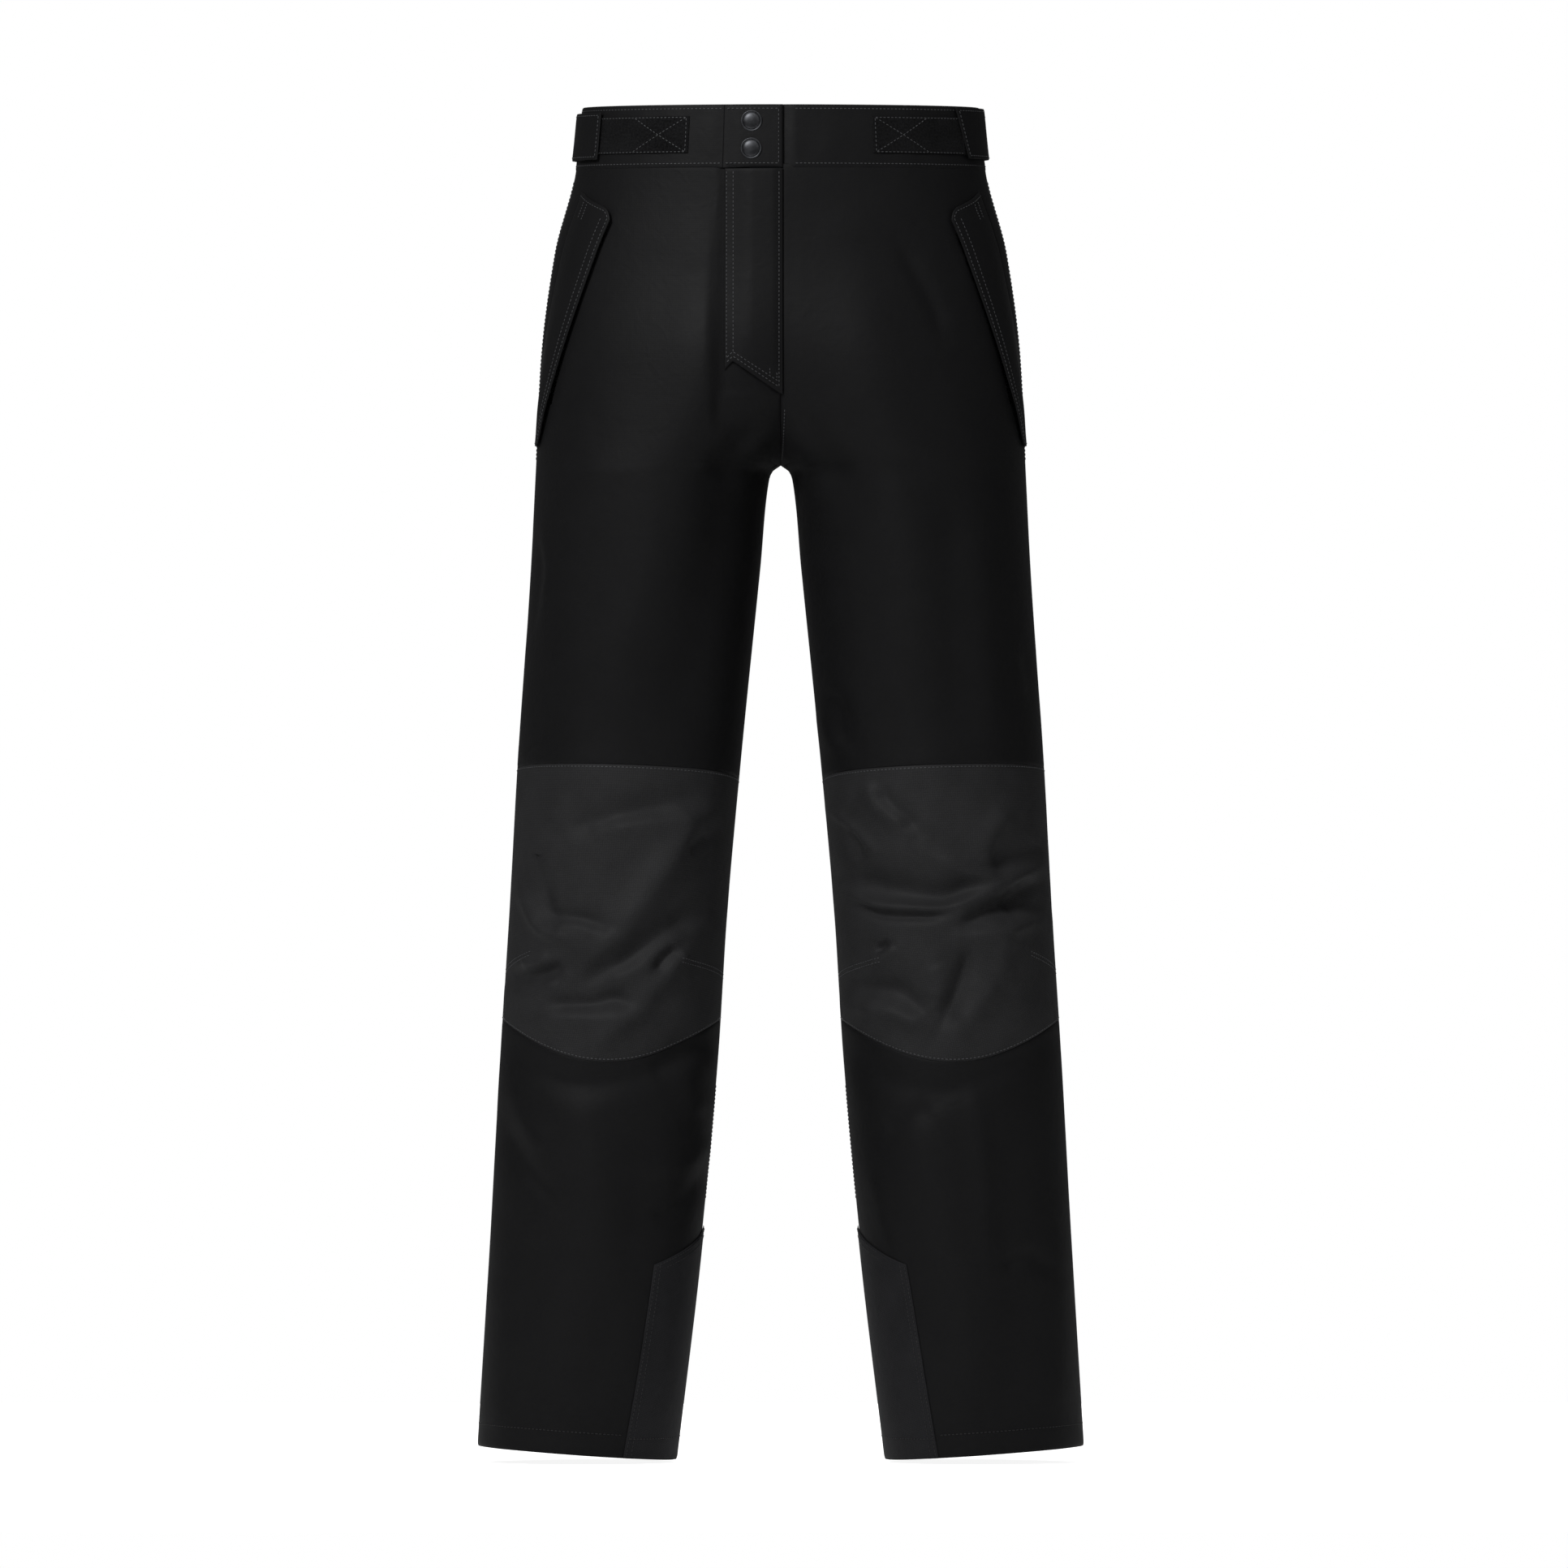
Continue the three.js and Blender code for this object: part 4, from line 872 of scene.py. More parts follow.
# ---- Operators ----
class SKIPANTS_OT_upper_panels(bpy.types.Operator):
    """Make the front and back of each half, from the waistband to the knee"""

    bl_idname = "ski_pants.upper_panels"
    bl_label = "Upper Panels"

    def execute(self, context):
        for name, sign in SIDES:
            # the top edge is sewn up inside the waistband's thickness
            waist = level(WAISTBAND_HEIGHT - SEAM_ALLOWANCE)
            height = KNEE_TOP - WAISTBAND_HEIGHT + SEAM_ALLOWANCE
            upper = leg_panel(
                f"{name}_front_upper", sign, inner, side, waist, knee_top, height, shell_cloth()
            )
            cut_out(upper, pocket_slot_cutter(sign))
            if sign < 0:
                cut_out(upper, fly_window_cutter())
            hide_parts(f"{name}_front_hip", f"{name}_front_groin", f"{name}_front_thigh")
            behind = leg_panel(
                f"{name}_back_upper", sign, back_start, back_end, waist, level(BACK_KNEE),
                height - BACK_ABOVE, shell_cloth(), cell=3.4,
            )
            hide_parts(f"{name}_back_hip", f"{name}_back_groin", f"{name}_back_thigh")
            for piece in (upper, behind):
                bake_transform(piece)
        return {"FINISHED"}


class SKIPANTS_OT_lower_panels(bpy.types.Operator):
    """Make the knee panels and the front and back of each lower leg"""

    bl_idname = "ski_pants.lower_panels"
    bl_label = "Knee and Lower Panels"

    def execute(self, context):
        for name, sign in SIDES:
            knee = leg_panel(
                f"{name}_knee_cloth", sign, inner, side, knee_top, knee_bottom, 235,
                canvas(), 2.2,
            )
            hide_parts(f"{name}_knee_panel")
            lower = leg_panel(
                f"{name}_front_lower", sign, inner, side, knee_bottom, hem_front, 309, shell_cloth()
            )
            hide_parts(f"{name}_front_shin")
            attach(lower, f"{name}_shin")
            behind = leg_panel(
                f"{name}_back_lower", sign, back_start, back_end, level(BACK_KNEE),
                lambda u: hem_front(1 - u), HEM - BACK_KNEE, shell_cloth(), cell=3.4,
            )
            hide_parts(f"{name}_back_knee", f"{name}_back_shin")
            for piece in (knee, behind):
                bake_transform(piece)
        return {"FINISHED"}


class SKIPANTS_OT_cuffs(bpy.types.Operator):
    """Make the kick patches at the inner ankles and the snow gaiters inside the hems"""

    bl_idname = "ski_pants.cuffs"
    bl_label = "Kick Patches and Gaiters"

    def execute(self, context):
        for name, sign in SIDES:
            us, vs = shares(200, 2.6), shares(184, 2.6)
            u, v = np.meshgrid(2 * us - 1, vs, indexing="ij")
            turn, drop = patch_place(u, v)
            lift = relief(sign, turn, drop)
            outer = skin(sign, turn, drop, lift + 1.35 - rolled(us, vs, 200, 170, 0.6))
            inside = skin(sign, turn, drop, lift + 0.3)
            scuff = scuff_cloth()
            patch = cloth(f"{name}_kick_patch_cloth", outer, inside, scuff, scuff)
            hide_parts(f"{name}_kick_patch")
            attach(patch, f"{name}_shin")
            self.gaiter(name, sign)
        return {"FINISHED"}

    def gaiter(self, name, sign):
        """A thin sleeve, gathered by a row of elastic near its lower edge."""
        us = np.linspace(0, 1, 181)
        vs = shares(150, 3)
        u, v = np.meshgrid(us, vs, indexing="ij")
        turn, drop = 2 * math.pi * u, lerp(886, 1036, v)
        gather = 0.2 * ease(0.1, 0.5, v) + 0.8 * np.exp(-(((v - 0.8) / 0.12) ** 2))
        ripple = 1.1 * gather * np.sin(2 * math.pi * 60 * u + 1.5 * np.sin(9 * math.pi * u))
        fold = np.minimum(relief(sign, turn, drop), 0) * (1 - v) ** 2
        inward = 1.7 + 20 * v**0.7
        off = fold - inward + ripple - 0.5 * (v > 0)
        outer, inside = (skin(sign, turn, drop, off - less) for less in (0, 0.7))
        flat = cut_size(skin(sign, turn, drop, -inward))
        lining = lining_cloth()
        piece = cloth(
            f"{name}_gaiter_cloth", outer, inside, lining, lining, ring=True
        )
        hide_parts(f"{name}_snow_gaiter")
        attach(piece, f"{name}_shin")


def patch_place(u, v):
    rise = 152 + 32 * (1 - np.abs(u))
    hem = hem_drop(HEM_CENTRE - HEM_HALF * np.cos(u)) - REST_GAP
    turn = np.radians(u * lerp(55, 62, v))
    return np.where(turn < 0, turn + 2 * math.pi, turn), lerp(hem - rise, hem, v)


def plate(name, at, us, vs, width, length, foot, thick, face, back, edge=0.35):
    """A closed piece between two layers of at(u, v, off), its outer edges turned in."""
    u, v = np.meshgrid(us, vs, indexing="ij")
    outer = at(u, v, foot + thick - rolled(us, vs, width, length, edge, 2.2))
    inside = at(u, v, foot + 0 * u)
    return cloth(name, outer, inside, face, back)


class SKIPANTS_OT_waistband(bpy.types.Operator):
    """Make the waistband's right, left and back lengths"""

    bl_idname = "ski_pants.waistband"
    bl_label = "Waistband"

    def execute(self, context):
        quarter, gap = math.pi / 2, SEAM_GAP / 2 / WAIST_HALF
        ramp = math.radians(3)

        def dip(turn):
            return 2.4 * np.clip((FLY_END + ramp - turn) / ramp, 0, 1)

        spans = {
            "waistband_front_right": (-quarter + gap, FLY_START - 0.0006, level(0)),
            "waistband_front_left": (FLY_START * 0.9, quarter - gap, dip),
            "waistband_back": (quarter + gap, 3 * quarter - gap, level(0)),
        }
        for name, (low, high, lower) in spans.items():
            length = (high - low) * WAIST_HALF
            us, vs = shares(length, 3), shares(49.8, 2)

            def at(u, v, off):
                turn = lerp(low, high, u)
                tucked = 0.9 * np.exp(-(((v - 0.5) / 0.3) ** 2)) * (off > BAND_IN + 0.1)
                wave = 0.22 * np.sin(turn * 31) * np.sin(math.pi * v) * (off > BAND_IN + 0.1)
                # the cloth runs on into the tab, so its edge there stays flat
                beside_tab = 1 if name != "waistband_front_right" else ease(0, 0.04, 1 - u)
                off = np.maximum(off, lerp(BAND_OUT - 0.05, off, beside_tab)) if off.max() > 0 else off
                puff = (0.35 * tucked + wave) * beside_tab
                return band_point(turn, lerp(0, 49.8, v), off - lower(turn) + puff)

            piece = plate(
                name + "_cloth", at, us, vs, length, 50, BAND_IN, BAND_OUT - BAND_IN,
                shell_cloth(), lining_cloth(), 0.5,
            )
            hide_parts(name)
            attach(piece, "hips")
        return {"FINISHED"}


def fly_place(u, v, off):
    """The fly flap: its slanted lower edge, and its rise over the zip from its stitched side."""
    x = lerp(FLY_LEFT, FLY_RIGHT, u)
    bottom = lerp(201, 228, (u - 0.12) / 0.88) + 11 * np.clip(1 - u / 0.14, 0, 1)
    drop = lerp(50.2, bottom, v)
    rise = -1.15 + 4.05 * ease(0.02, 0.5, u) - 1.9 * ease(0.82, 1.0, u)
    rise = lerp(rise, np.minimum(rise, 1.2), ease(0.82, 1.0, v))
    return stacked(x, front_y(x, drop) - rise - off, -drop)


class SKIPANTS_OT_fly(bpy.types.Operator):
    """Make the fly flap with its waistband tab, the guard behind it and the zip tape"""

    bl_idname = "ski_pants.fly"
    bl_label = "Fly"

    def execute(self, context):
        shell, lining = shell_cloth(), lining_cloth()
        flap = plate(
            "fly_flap_cloth", fly_place, shares(45.5, 1.6), shares(170, 2.4), 45.5, 170, 0.0, 1.4,
            shell, lining, 0.5,
        )
        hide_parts("fly_flap")
        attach(flap, "fly_flap")

        def tab_at(u, v, off):
            turn = lerp(FLY_START, FLY_END, u)
            proud = ease(0, 0.3, u) - 1
            outside = off.max() > 0
            if outside:
                off = np.where(u < 0.1, TAB_OUT - 0.05, off)
            puff = 0.3 * np.sin(math.pi * v) * ease(0, 0.3, u) * outside
            return band_point(turn, lerp(0, 49.8, v), off + (TAB_OUT - BAND_OUT) * proud + puff)

        tab = plate(
            "waistband_tab_cloth", tab_at, shares(45, 1.8), shares(50, 2), 45, 50, TAB_IN, TAB_OUT - TAB_IN,
            shell, lining, 0.8,
        )
        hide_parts("waistband_tab")
        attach(tab, "fly_flap")

        def guard_at(u, v, off):
            x = lerp(-36, 12, u)
            deep = lerp(-3.6, -2.2, ease(3, 9, x))
            drop = lerp(51.3, 186, v)
            return stacked(x, front_y(x, drop) - deep - off, -drop)

        guard = plate(
            "fly_guard_cloth", guard_at, shares(48, 2.5), shares(135, 3), 48, 135, -1.2, 1.2,
            lining, lining,
        )
        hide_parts("fly_guard")
        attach(guard, "hips")

        def tape_at(u, v, off):
            aside = lerp(-13, 13, u)
            drop = lerp(52.2, 180.2, v)
            edge = ease(5, 6.2, np.abs(aside))
            x = FLY_ZIP_AT + aside
            low, at_zip = front_y(x, drop) + TAPE_DEEP, front_y(FLY_ZIP_AT, drop) + FLY_DEEP
            return stacked(x, lerp(at_zip, low, edge) - off, -drop)

        tape = plate(
            "fly_zip_tape_cloth", tape_at, shares(26, 1.2), shares(128, 3), 26, 128, -0.7, 0.65,
            zip_tape(), zip_tape(), 0.1,
        )
        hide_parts("fly_zip_tape")
        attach(tape, "hips")
        return {"FINISHED"}


def fly_window_cutter():
    """The part of the right front that is cut away in front of its half of the zip."""
    corners = ((-24, 0), (3, 0), (3, 184), (-24, 184))
    low = np.array([(x, -150, -drop) for x, drop in corners], float)
    return prism("fly_window", low, low + np.array([0, 150, 0]))


class ZipArc:
    """The gentle arc that a hand pocket's zip follows."""

    def __init__(self, sign):
        ends = []
        for drop in (100, 232):
            turn = self.place_turn(pocket_edge(drop), drop) + 7 / front_depth(drop)
            ends.append(skin(sign, turn, drop))
        self.top, self.bottom = ends
        chord = self.top - self.bottom
        half = np.linalg.norm(chord) / 2
        self.up = chord / (2 * half)
        mid = (self.top + self.bottom) / 2
        turns = np.linspace(math.pi / 2, math.pi, 4001)
        ring = skin(sign, turns, -mid[2])
        bow = ring[np.argmin(np.linalg.norm(ring - mid, axis=1))] - mid
        bow -= self.up * (bow @ self.up)
        rise = np.linalg.norm(bow)
        self.out = bow / rise
        self.radius = (half * half + rise * rise) / (2 * rise)
        self.hub = mid + self.out * (rise - self.radius)
        self.across = np.cross(self.out, self.up)
        self.span = math.asin(half / self.radius)
        self.length = 2 * self.span * self.radius

    @staticmethod
    def place_turn(x, drop):
        return math.pi - np.arccos((x - middle(drop)) / (half_width(drop) - middle(drop)))

    def radial(self, down):
        turn = self.span - np.asarray(down)[..., None] / self.radius
        return self.out * np.cos(turn) + self.up * np.sin(turn)

    def place(self, down, aside, lift):
        out = self.radial(down)
        far = self.radius + np.asarray(lift)[..., None] - POCKET_DEEP
        return self.hub + out * far + self.across * np.asarray(aside)[..., None]


def pocket_slot_cutter(sign):
    arc = ZipArc(sign)
    down = np.linspace(-1, arc.length + 1, 12)
    ring = [(d, -6.5) for d in down] + [(d, 6.5) for d in down[::-1]]
    downs, asides = (np.array(c) for c in zip(*ring))
    low = arc.place(downs, asides, np.full(len(ring), -9.0))
    high = arc.place(downs, asides, np.full(len(ring), 12.0))
    cutter = prism("pocket_slot", low, high)
    faces_out(cutter, triangles=True)
    return cutter


def pocket_flap_place(sign):
    def at(u, v, off):
        round_end = 7 * np.clip(1 - u / 0.22, 0, 1) ** 2
        drop = lerp(83 - 16 * u + round_end, 267, v)
        edge = ZipArc.place_turn(pocket_edge(drop), np.maximum(drop, 83))
        sewn = np.radians(lerp(161, 176, v))
        lift = lerp(LOOSE_GAP, -0.75, ease(0.45, 1, u)) + 3.2 * (1 - u**2) * lerp(1, 0.35, ease(0.82, 1, v))
        return skin(sign, lerp(edge, sewn, u), drop, lift + off)

    return at


class SKIPANTS_OT_pockets(bpy.types.Operator):
    """Make each hand pocket's flap, pouch, zip tape and teeth"""

    bl_idname = "ski_pants.pockets"
    bl_label = "Hand Pockets"

    def execute(self, context):
        for name, sign in SIDES:
            flap = plate(
                f"{name}_pocket_flap_cloth", pocket_flap_place(sign), shares(45, 1.5), shares(190, 2.4),
                45, 190, 0.0, 1.4, shell_cloth(), lining_cloth(), 0.5,
            )
            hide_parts(f"{name}_pocket_flap")
            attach(flap, f"{name}_pocket_flap")

            def bag_at(u, v, off):
                turn, drop = np.radians(lerp(112, 160, u)), lerp(92, 260, v)
                return surface(sign, turn, drop, off - 4.6)

            lining = lining_cloth()
            bag = plate(
                f"{name}_pocket_pouch", bag_at, shares(90, 3), shares(168, 3), 90, 168, -1.2, 1.2,
                lining, lining,
            )
            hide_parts(f"{name}_pocket_bag")
            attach(bag, "hips")
            self.zip(name, sign)
        return {"FINISHED"}

    def zip(self, name, sign):
        arc = ZipArc(sign)

        def tape_at(u, v, off):
            aside, down = lerp(-13, 13, u), v * arc.length
            flat = arc.place(down, aside, off)
            turns = np.linspace(math.pi / 2, math.pi, 721)
            drops = -flat[..., 2]
            ring = skin(sign, turns[None, None, :], drops[..., None], -TAPE_DEEP)
            nearest = np.argmin(np.linalg.norm(ring[..., :2] - flat[..., None, :2], axis=-1), axis=-1)
            under = skin(sign, turns[nearest], drops, off - TAPE_DEEP)
            edge = ease(5, 6.4, np.abs(aside))[..., None]
            return lerp(flat, under, edge)

        tape = plate(
            f"{name}_pocket_zip_tape", tape_at, shares(26, 1.2), shares(140, 4), 26, 140, -0.7, 0.65,
            zip_tape(), zip_tape(), 0.1,
        )
        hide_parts(f"{name}_pocket_zip")
        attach(tape, "hips")
        vertices, faces = [], []
        pitch = 1.5
        for i in range(int((arc.length - 8) / pitch)):
            down, reach = 4 + i * pitch, (-2.5, 1.2) if i % 2 else (-1.2, 2.5)
            base = len(vertices)
            for lift in (0.05, 1.25):
                for step, aside in ((-0.5, reach[0]), (-0.5, reach[1]), (0.5, reach[1]), (0.5, reach[0])):
                    vertices.append(arc.place(down + step, aside, lift))
            sides = [(0, 1, 5, 4), (1, 2, 6, 5), (2, 3, 7, 6), (3, 0, 4, 7), (3, 2, 1, 0), (4, 5, 6, 7)]
            faces += [tuple(base + k for k in corner) for corner in sides]
        teeth = new_object(f"{name}_pocket_zip_teeth", np.array(vertices) / 1000, faces, [moulded()])
        faces_out(teeth)
        bpy.ops.object.shade_smooth_by_angle(angle=math.radians(30))
        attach(teeth, "hips")


class SKIPANTS_OT_adjusters(bpy.types.Operator):
    """Make the waist adjusters: loop pads, straps, and tabs with their hook patches"""

    bl_idname = "ski_pants.adjusters"
    bl_label = "Waist Adjusters"

    def execute(self, context):
        for name, sign in SIDES:
            for part, spans in adjuster_parts(name, sign).items():
                start, end, foot, thick, top, height, body, slot, face = spans

                def at(u, v, off):
                    slanted = part == "adjuster_tab" and sign > 0
                    slant = TAB_SLANT * (v - 0.45) * (1 - u) if slanted else 0.0
                    turn = np.radians(lerp(start + slant, end, u))
                    if part == "adjuster_strap":
                        off = off + lerp(3.25, 0.75, u)
                    return band_point(sign * turn, lerp(top, top + height, v), off)

                length = math.radians(abs(end - start)) * 140
                piece = plate(
                    f"{name}_{part}_cloth", at, shares(length, 1.6), shares(height, 1.6), length, height,
                    foot, thick, face, face, 0.4,
                )
                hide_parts(f"{name}_{part}")
                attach(piece, body)
        return {"FINISHED"}


def adjuster_parts(name, sign):
    """Each part's start, end, foot and thickness, its top and height, its body, its slot and its cloth."""
    top, height = (5, 37) if sign < 0 else (1, 40)
    tab, shell = f"{name}_adjuster_tab", shell_cloth()
    return {
        "loop_pad": (27, 84, 0.7, 1.0, 9, 29, "hips", "loop", loop_pile()),
        "hook_patch": (63, 83, 2.1, 0.8, 9, 29, tab, "hook", hook_sheet()),
        "adjuster_tab": (62, 84.9, 3.25, 1.4, top, height, tab, "shell", shell),
        "adjuster_strap": (85.1, 118, 0.0, 1.4, top, height, "hips", "shell", shell),
    }


class SKIPANTS_OT_snaps(bpy.types.Operator):
    """Model the two press-stud caps on the waistband tab"""

    bl_idname = "ski_pants.snaps"
    bl_label = "Press Studs"

    def execute(self, context):
        for label, drop in (("upper", 13.0), ("lower", 34.6)):
            turn = math.asin((FLY_RIGHT - 24) / WAIST_HALF)
            foot = band_point(np.array(turn), np.array(drop), TAB_OUT + 0.25)
            low, high = (band_point(np.array(turn), np.array(drop), off) for off in (0.0, 1.0))
            out = high - low
            cap = self.cap(f"{label}_stud_cap")
            facing = Vector(out).normalized().to_track_quat("Z", "Y").to_matrix().to_4x4()
            cap.data.transform(Matrix.Translation(Vector(foot) / 1000) @ facing)
            cap.data.materials.append(gunmetal())
            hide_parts(f"{label}_snap_cap")
            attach(cap, "fly_flap")
        return {"FINISHED"}

    def cap(self, name):
        """A rolled rim round a shallow groove and a low dome, with the socket's ring behind the tab."""
        disc = {"vertices": 48, "radius": 0.0083, "depth": 0.0011}
        bpy.ops.mesh.primitive_cylinder_add(location=(0, 0, 0.00055), **disc)
        cap = bpy.context.active_object
        cap.name = name
        active(cap)
        bpy.ops.object.mode_set(mode="EDIT")
        self.pick(cap, top=True)
        bpy.ops.mesh.inset(thickness=0.0011, depth=0)
        bpy.ops.mesh.inset(thickness=0.00035, depth=-0.00045)
        for thickness, rise in ((0.0004, 0.0008), (0.0011, 0.00052), (0.0017, 0.0004), (0.0019, 0.0002)):
            bpy.ops.mesh.inset(thickness=thickness, depth=rise)
        self.pick(cap, top=False)
        bpy.ops.mesh.inset(thickness=0.0052, depth=0)
        bpy.ops.mesh.extrude_region_move(TRANSFORM_OT_translate={"value": (0, 0, -0.0025)})
        bpy.ops.mesh.inset(thickness=0.0009, depth=-0.0014)
        bpy.ops.object.mode_set(mode="OBJECT")
        bevel = cap.modifiers.new("Rolled rim", "BEVEL")
        bevel.width, bevel.segments, bevel.limit_method = 0.00028, 3, "ANGLE"
        bpy.ops.object.modifier_apply(modifier=bevel.name)
        bpy.ops.object.transform_apply(location=True, rotation=True, scale=True)
        bpy.ops.object.shade_smooth_by_angle(angle=math.radians(50))
        return cap

    def pick(self, cap, top):
        """Selects the face at one end."""
        bpy.ops.mesh.select_all(action="DESELECT")
        bpy.ops.object.mode_set(mode="OBJECT")
        ends = max if top else min
        far = ends(cap.data.polygons, key=lambda f: f.center.z)
        far.select = True
        bpy.ops.object.mode_set(mode="EDIT")
        bpy.ops.mesh.select_mode(type="FACE")


class SKIPANTS_OT_hardware(bpy.types.Operator):
    """Give the studs, the fly's teeth, the sliders and the pulls their finishes"""

    bl_idname = "ski_pants.hardware"
    bl_label = "Studs and Zip Hardware"

    def execute(self, context):
        for name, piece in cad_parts.items():
            if name.endswith("snap_stud"):
                finish = gunmetal()
            elif name.endswith(("zip_chain", "slider", "pull")):
                finish = moulded()
            else:
                continue
            for place in piece.material_slots:
                place.material = finish
        return {"FINISHED"}


class SKIPANTS_OT_stitching(bpy.types.Operator):
    """Lay every line of stitches on its cloth"""

    bl_idname = "ski_pants.stitching"
    bl_label = "Stitching"

    def execute(self, context):
        self.waist()
        self.fly()
        for name, sign in SIDES:
            self.pocket(name, sign)
            self.knee(name, sign)
            self.shin(name, sign)
            self.tab(name, sign)
        return {"FINISHED"}

    def waist(self):
        thread = Thread()
        for low, high in ((-math.pi / 2, FLY_START - 0.01), (FLY_END + 0.06, 1.5 * math.pi - 0.01)):
            turn = np.linspace(low, high, 300)
            for drop in (3.2, 46.2):
                band_line(thread, turn, drop, BAND_OUT - 0.1)
        for sign in (-1, 1):
            leg_line(thread, sign, math.pi + 0.022, np.linspace(58, 278, 110), 0.0)
            low, high = 27.9, 83
            corners = ((low, 10), (high, 10), (high, 37), (low, 37), (low, 10))
            cross = (((low, 10), ((low + high) / 2 - 9, 37)), ((low, 37), ((low + high) / 2 - 9, 10)))
            for a, b in (*zip(corners[:-1], corners[1:]), *cross):
                turn = sign * np.radians(np.linspace(a[0], b[0], 60))
                band_line(thread, turn, np.linspace(a[1], b[1], 60), 1.62)
            turn = sign * np.radians(np.linspace(86, 117.4, 50))
            for drop in (7.2, 39.6):
                foot = 4.65 - 2.5 * np.linspace(0.03, 0.98, 50)
                band_line(thread, turn, drop, foot - 0.12)
        drop = np.linspace(56, RISE - 4, 160)
        turn = inner(drop) + 3.2 / 110
        below_fly = drop > 238
        leg_line(thread, 1, turn[below_fly], drop[below_fly], 0.0)
        leg_line(thread, 1, 2 * math.pi - turn, drop, 0.0)
        piece = thread.finish("hips_stitching", thread_finish())
        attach(piece, "hips")

    def fly(self):
        thread = Thread()
        off = 1.4 - 0.08
        side_inset, edge_inset = 1.5 / 45.5, 2.8 / 45.5
        for u in (side_inset, side_inset + 5.2 / 45.5):
            sheet_line(thread, fly_place, u, np.linspace(0.012, 0.955, 120), off)
        sheet_line(thread, fly_place, 1 - edge_inset, np.linspace(0.012, 0.975, 120), off)
        for v in (0.975, 0.952):
            sheet_line(thread, fly_place, np.linspace(side_inset, 0.923, 40), v, off)
        for inset in (4.5, 10.0):
            vs = np.linspace(0.915, 0.945, 12)
            sheet_line(thread, fly_place, 1 - inset / 45.5, vs, off, pitch=2.4)
        turn = np.linspace(FLY_START + 0.012, FLY_END - 0.02, 40)
        for drop in (3.2, 46.2):
            band_line(thread, turn, drop, TAB_OUT - 0.2)
        band_line(thread, FLY_END - 0.02, np.linspace(3.2, 46.2, 40), TAB_OUT - 0.15)
        piece = thread.finish("fly_stitching", thread_finish())
        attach(piece, "fly_flap")

    def pocket(self, name, sign):
        thread = Thread()
        at = pocket_flap_place(sign)
        across, down = 2.4 / 45, 2.4 / 190
        sheet_line(thread, at, across, np.linspace(down, 1 - down, 120), 1.3)
        for v in (down, 1 - down):
            sheet_line(thread, at, np.linspace(across, 0.984, 40), v, 1.3)
        sheet_line(thread, at, 8 / 45, np.linspace(8 / 190, 1 - 8 / 190, 120), 1.3)
        for u in (0.62, 0.75):
            sheet_line(thread, at, u, np.linspace(0.02, 0.085, 20), 1.3, pitch=2.2)
        piece = thread.finish(f"{name}_pocket_stitching", thread_finish())
        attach(piece, f"{name}_pocket_flap")

    def knee(self, name, sign):
        thread = Thread()
        u = np.linspace(0.004, 0.996, 160)
        for edge, shift in ((knee_top, 2.0), (knee_bottom, -2.0)):
            drop = edge(u) + shift
            leg_line(thread, sign, lerp(inner(drop), side(drop), u), drop, -0.1)
        for drops, turns in (((681, 666), (0.985, 0.78)), ((685, 671), (0.015, 0.30))):
            drop = np.linspace(*drops, 30)
            u = np.linspace(*turns, 30)
            for shift in (-1.6, 1.6):
                leg_line(thread, sign, lerp(inner(drop), side(drop), u), drop + shift, -0.1)
        piece = thread.finish(f"{name}_knee_stitching", thread_finish(), "reinforcement")
        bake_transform(piece)

    def shin(self, name, sign):
        thread = Thread()
        turn = np.linspace(0, 2 * math.pi, 320)
        hem = hem_drop(HEM_CENTRE - HEM_HALF * np.cos(turn)) - 18
        covered = (turn < math.radians(64)) | (turn > math.radians(296))
        leg_line(thread, sign, turn[~covered], hem[~covered], -0.1)
        leg_line(thread, sign, 0.03, np.linspace(770, 860, 60), -0.1)
        for shift in (0.022, 0.075):
            for edge in (shift - 1, 1 - shift):
                leg_line(thread, sign, *patch_place(edge, np.linspace(0.015, 0.99, 90)), 1.22)
            angle, drop = patch_place(np.linspace(shift - 1, 1 - shift, 120), shift * 0.55)
            low = skin(sign, angle, drop, 1.25)
            thread.line(low, skin(sign, angle, drop, 2.25) - low)
        leg_line(thread, sign, *patch_place(np.linspace(-0.98, 0.98, 120), 0.9), 1.3)
        # the shin's stitches take the thread painted darker, as painted shade
        piece = thread.finish(f"{name}_shin_stitching", shaded_thread())
        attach(piece, f"{name}_shin")

    def tab(self, name, sign):
        thread = Thread()
        start, end, foot, thick, top, height = adjuster_parts(name, sign)["adjuster_tab"][:6]
        slope = TAB_SLANT if sign > 0 else 0.0

        def at(u, v):
            turn = np.radians(lerp(start + slope * (v - 0.45) * (1 - u), end, u))
            return sign * turn, lerp(top, top + height, v)

        down, across = np.linspace(0.06, 0.94, 50), np.linspace(0.05, 0.99, 50)
        for us, vs in ((0.05, down), (across, 0.06), (across, 0.94)):
            band_line(thread, *at(us, vs), foot + thick - 0.1)
        piece = thread.finish(f"{name}_tab_stitching", thread_finish())
        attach(piece, f"{name}_adjuster_tab")


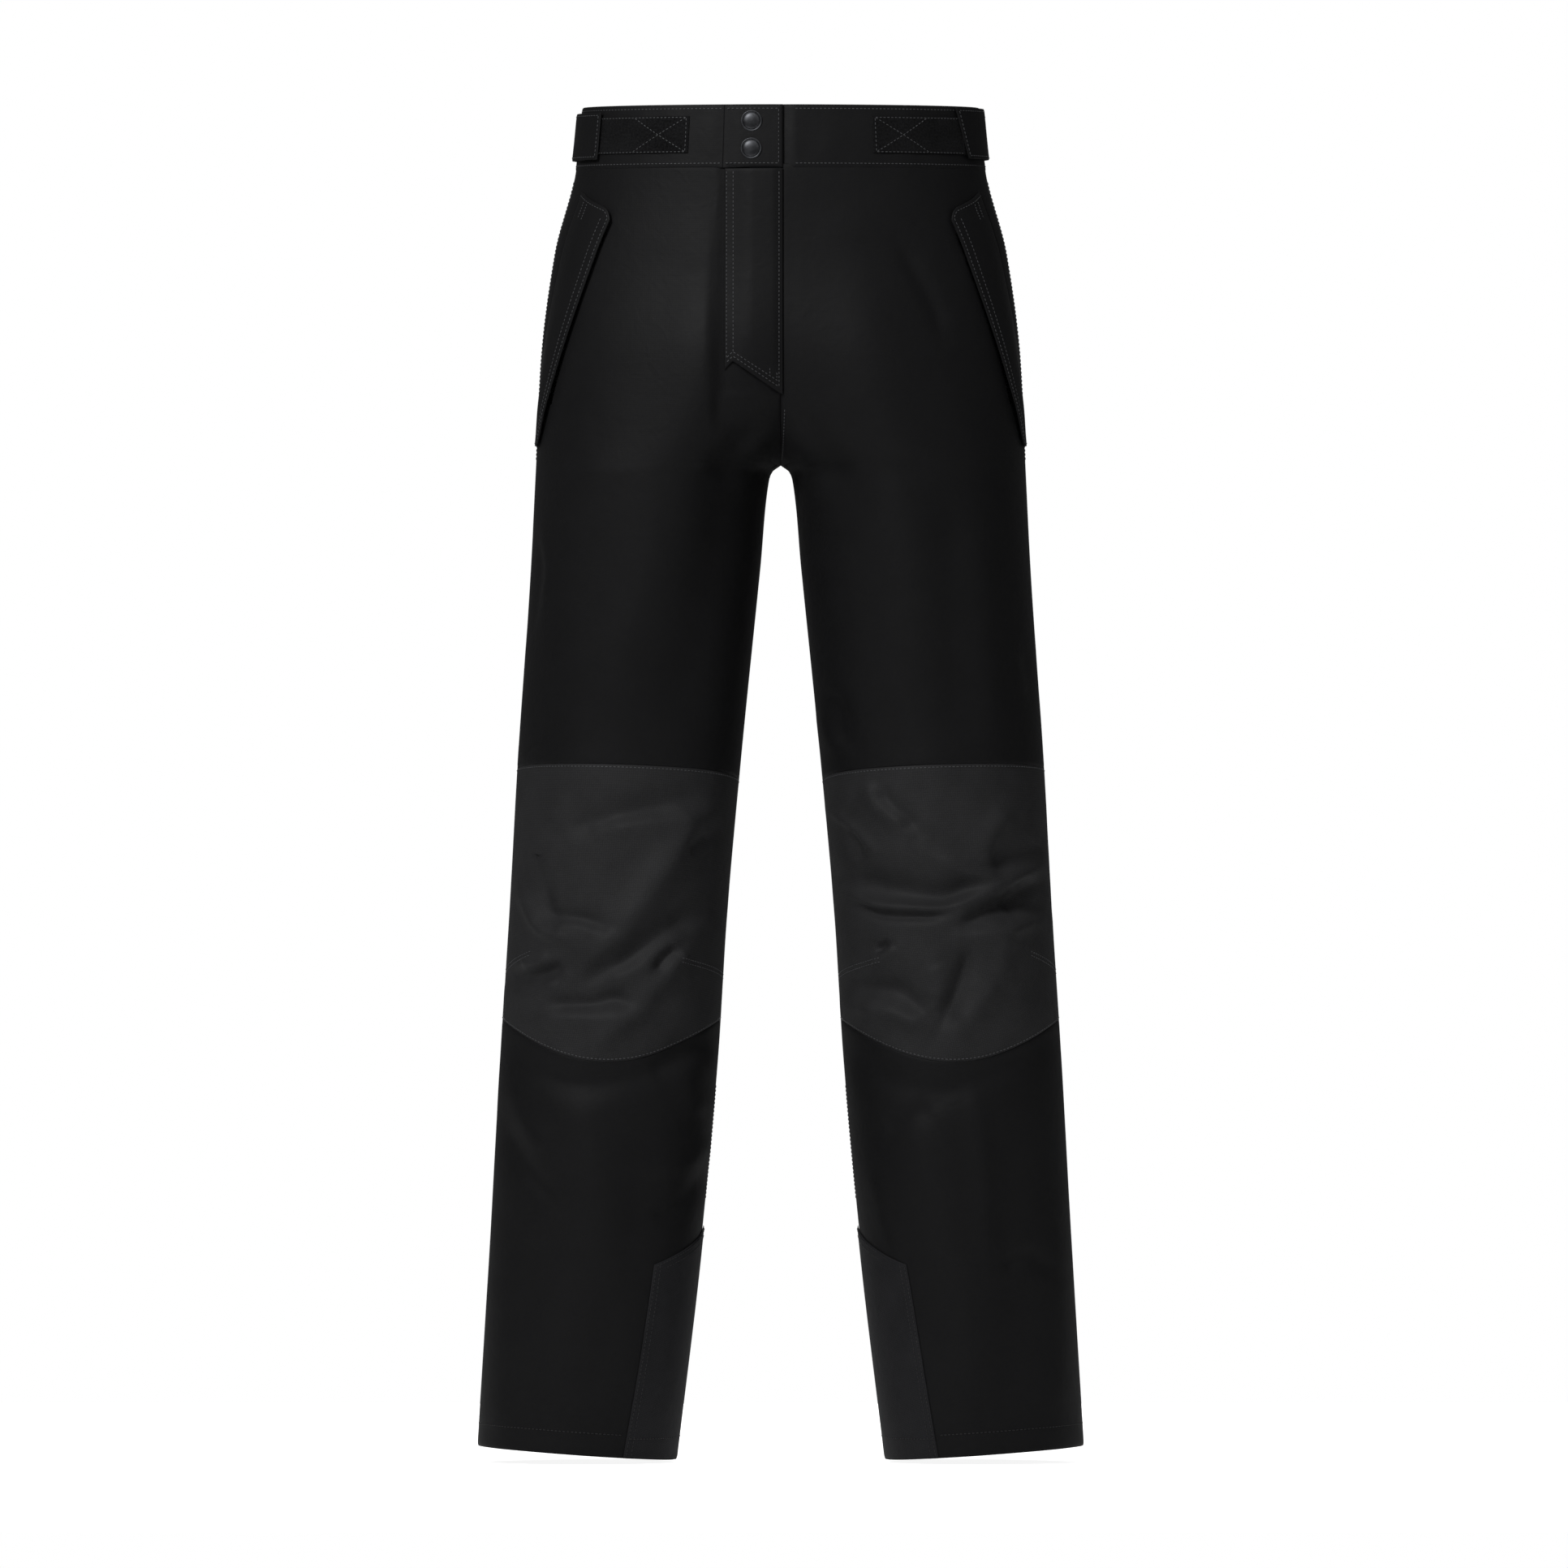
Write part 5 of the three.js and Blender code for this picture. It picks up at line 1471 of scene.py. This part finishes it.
class SKIPANTS_OT_stage(bpy.types.Operator):
    """Set the pale floor, the soft lights and the camera"""

    bl_idname = "ski_pants.stage"
    bl_label = "Stage"

    def execute(self, context):
        low, high = FRAME_BOX
        self.floor(low.z)
        self.world()
        centre = Vector((0, 0, (low.z + high.z) / 2))
        # a soft key from the upper left of the front, a weak fill, a top light that lifts the folds,
        # and one from behind, which the front never shows
        hips = Vector((0, 0, high.z * 0.6 + low.z * 0.4))
        self.light("key", (-1.2, -2.1, 1.3), hips, 0.8, 42)
        self.light("top", (0.3, -1.7, 1.9), hips, 1.2, 8)
        self.light("fill", (2.2, -3.2, 0.9), centre, 2.0, 7)
        self.light("behind", (0.0, 4.2, 1.0), hips, 2.0, 120)
        self.camera()
        return {"FINISHED"}

    def floor(self, height):
        """A pale square of paper under the hems."""
        half = props().floor_size / 2
        vertices = [(x, y, height - 0.002) for y in (-half, half) for x in (-half, half)]
        faces = [(0, 1, 3, 2)]
        # matte white paper with the faintest fibre
        settings = {"Specular IOR Level": 0.1, "Emission Color": (1, 1, 1, 1), "Emission Strength": 0.9}
        paper, tree, shader = start_finish("white paper", settings)
        places = node(tree, "ShaderNodeTexCoord").outputs["Object"]
        fibre = noise(tree, places, 400.0)
        tree.links.new(tone(tree, fibre, (0.93, 0.93, 0.93), 0.99, 1.01), shader.inputs["Base Color"])
        unevenly(tree, shader, "Roughness", fibre, 0.1, 0.85)
        floor = new_object("floor", np.array(vertices), faces, [paper])
        # the paper's glow whitens only itself, so the hems stay as dark as the rest of the cloth
        lit = bpy.data.collections.new("lit by the paper")
        lit.objects.link(floor)
        floor.light_linking.receiver_collection = lit

    def world(self):
        world = bpy.data.worlds.new("studio")
        world.use_nodes = True
        tree = world.node_tree
        seen = node(tree, "ShaderNodeLightPath").outputs["Is Camera Ray"]
        backdrop = tree.nodes["Background"]
        backdrop.inputs["Color"].default_value = (1, 1, 1, 1)
        unevenly(tree, backdrop, "Strength", seen, 0.92, 0.08)
        bpy.context.scene.world = world
        bpy.context.scene.view_settings.view_transform = "Standard"

    def light(self, name, place, target, size, power):
        data = bpy.data.lights.new(name, "AREA")
        data.shape, data.size, data.energy = "DISK", size, power
        lamp = bpy.data.objects.new(name, data)
        lamp.location = place
        lamp.rotation_euler = (target - Vector(place)).to_track_quat("-Z", "Y").to_euler()
        bpy.context.scene.collection.objects.link(lamp)

    def camera(self):
        """A long lens straight on, level with the middle of the pants."""
        distance, width = 16.0, 1.2365
        data = bpy.data.cameras.new("camera")
        data.sensor_width, data.lens = 36, 36 * distance / width
        data.clip_end = 100
        camera = bpy.data.objects.new("camera", data)
        camera.location = (0.00256, -distance, -0.533)
        camera.rotation_euler = (math.pi / 2, 0, 0)
        bpy.context.scene.collection.objects.link(camera)
        bpy.context.scene.camera = camera


OPERATORS = (
    SKIPANTS_OT_upper_panels,
    SKIPANTS_OT_lower_panels,
    SKIPANTS_OT_cuffs,
    SKIPANTS_OT_waistband,
    SKIPANTS_OT_fly,
    SKIPANTS_OT_pockets,
    SKIPANTS_OT_adjusters,
    SKIPANTS_OT_snaps,
    SKIPANTS_OT_hardware,
    SKIPANTS_OT_stitching,
    SKIPANTS_OT_stage,
)


class SKIPANTS_PT_panel(bpy.types.Panel):
    """The dresser's settings and steps"""

    bl_idname = "SKIPANTS_PT_panel"
    bl_label = "Ski Pants"
    bl_space_type = "VIEW_3D"
    bl_region_type = "UI"
    bl_category = "Ski Pants"

    def draw(self, context):
        for name in SkiPantsProperties.__annotations__:
            self.layout.prop(context.scene.ski_pants, name)
        for operator in OPERATORS:
            self.layout.operator(operator.bl_idname)


CLASSES = (SkiPantsProperties, *OPERATORS, SKIPANTS_PT_panel)


def register():
    for cls in CLASSES:
        bpy.utils.register_class(cls)
    bpy.types.Scene.ski_pants = bpy.props.PointerProperty(type=SkiPantsProperties)


def unregister():
    del bpy.types.Scene.ski_pants
    for cls in reversed(CLASSES):
        bpy.utils.unregister_class(cls)


def main():
    register()
    for operator in OPERATORS:
        group, name = operator.bl_idname.split(".")
        getattr(getattr(bpy.ops, group), name)()


if __name__ == "__main__":
    main()
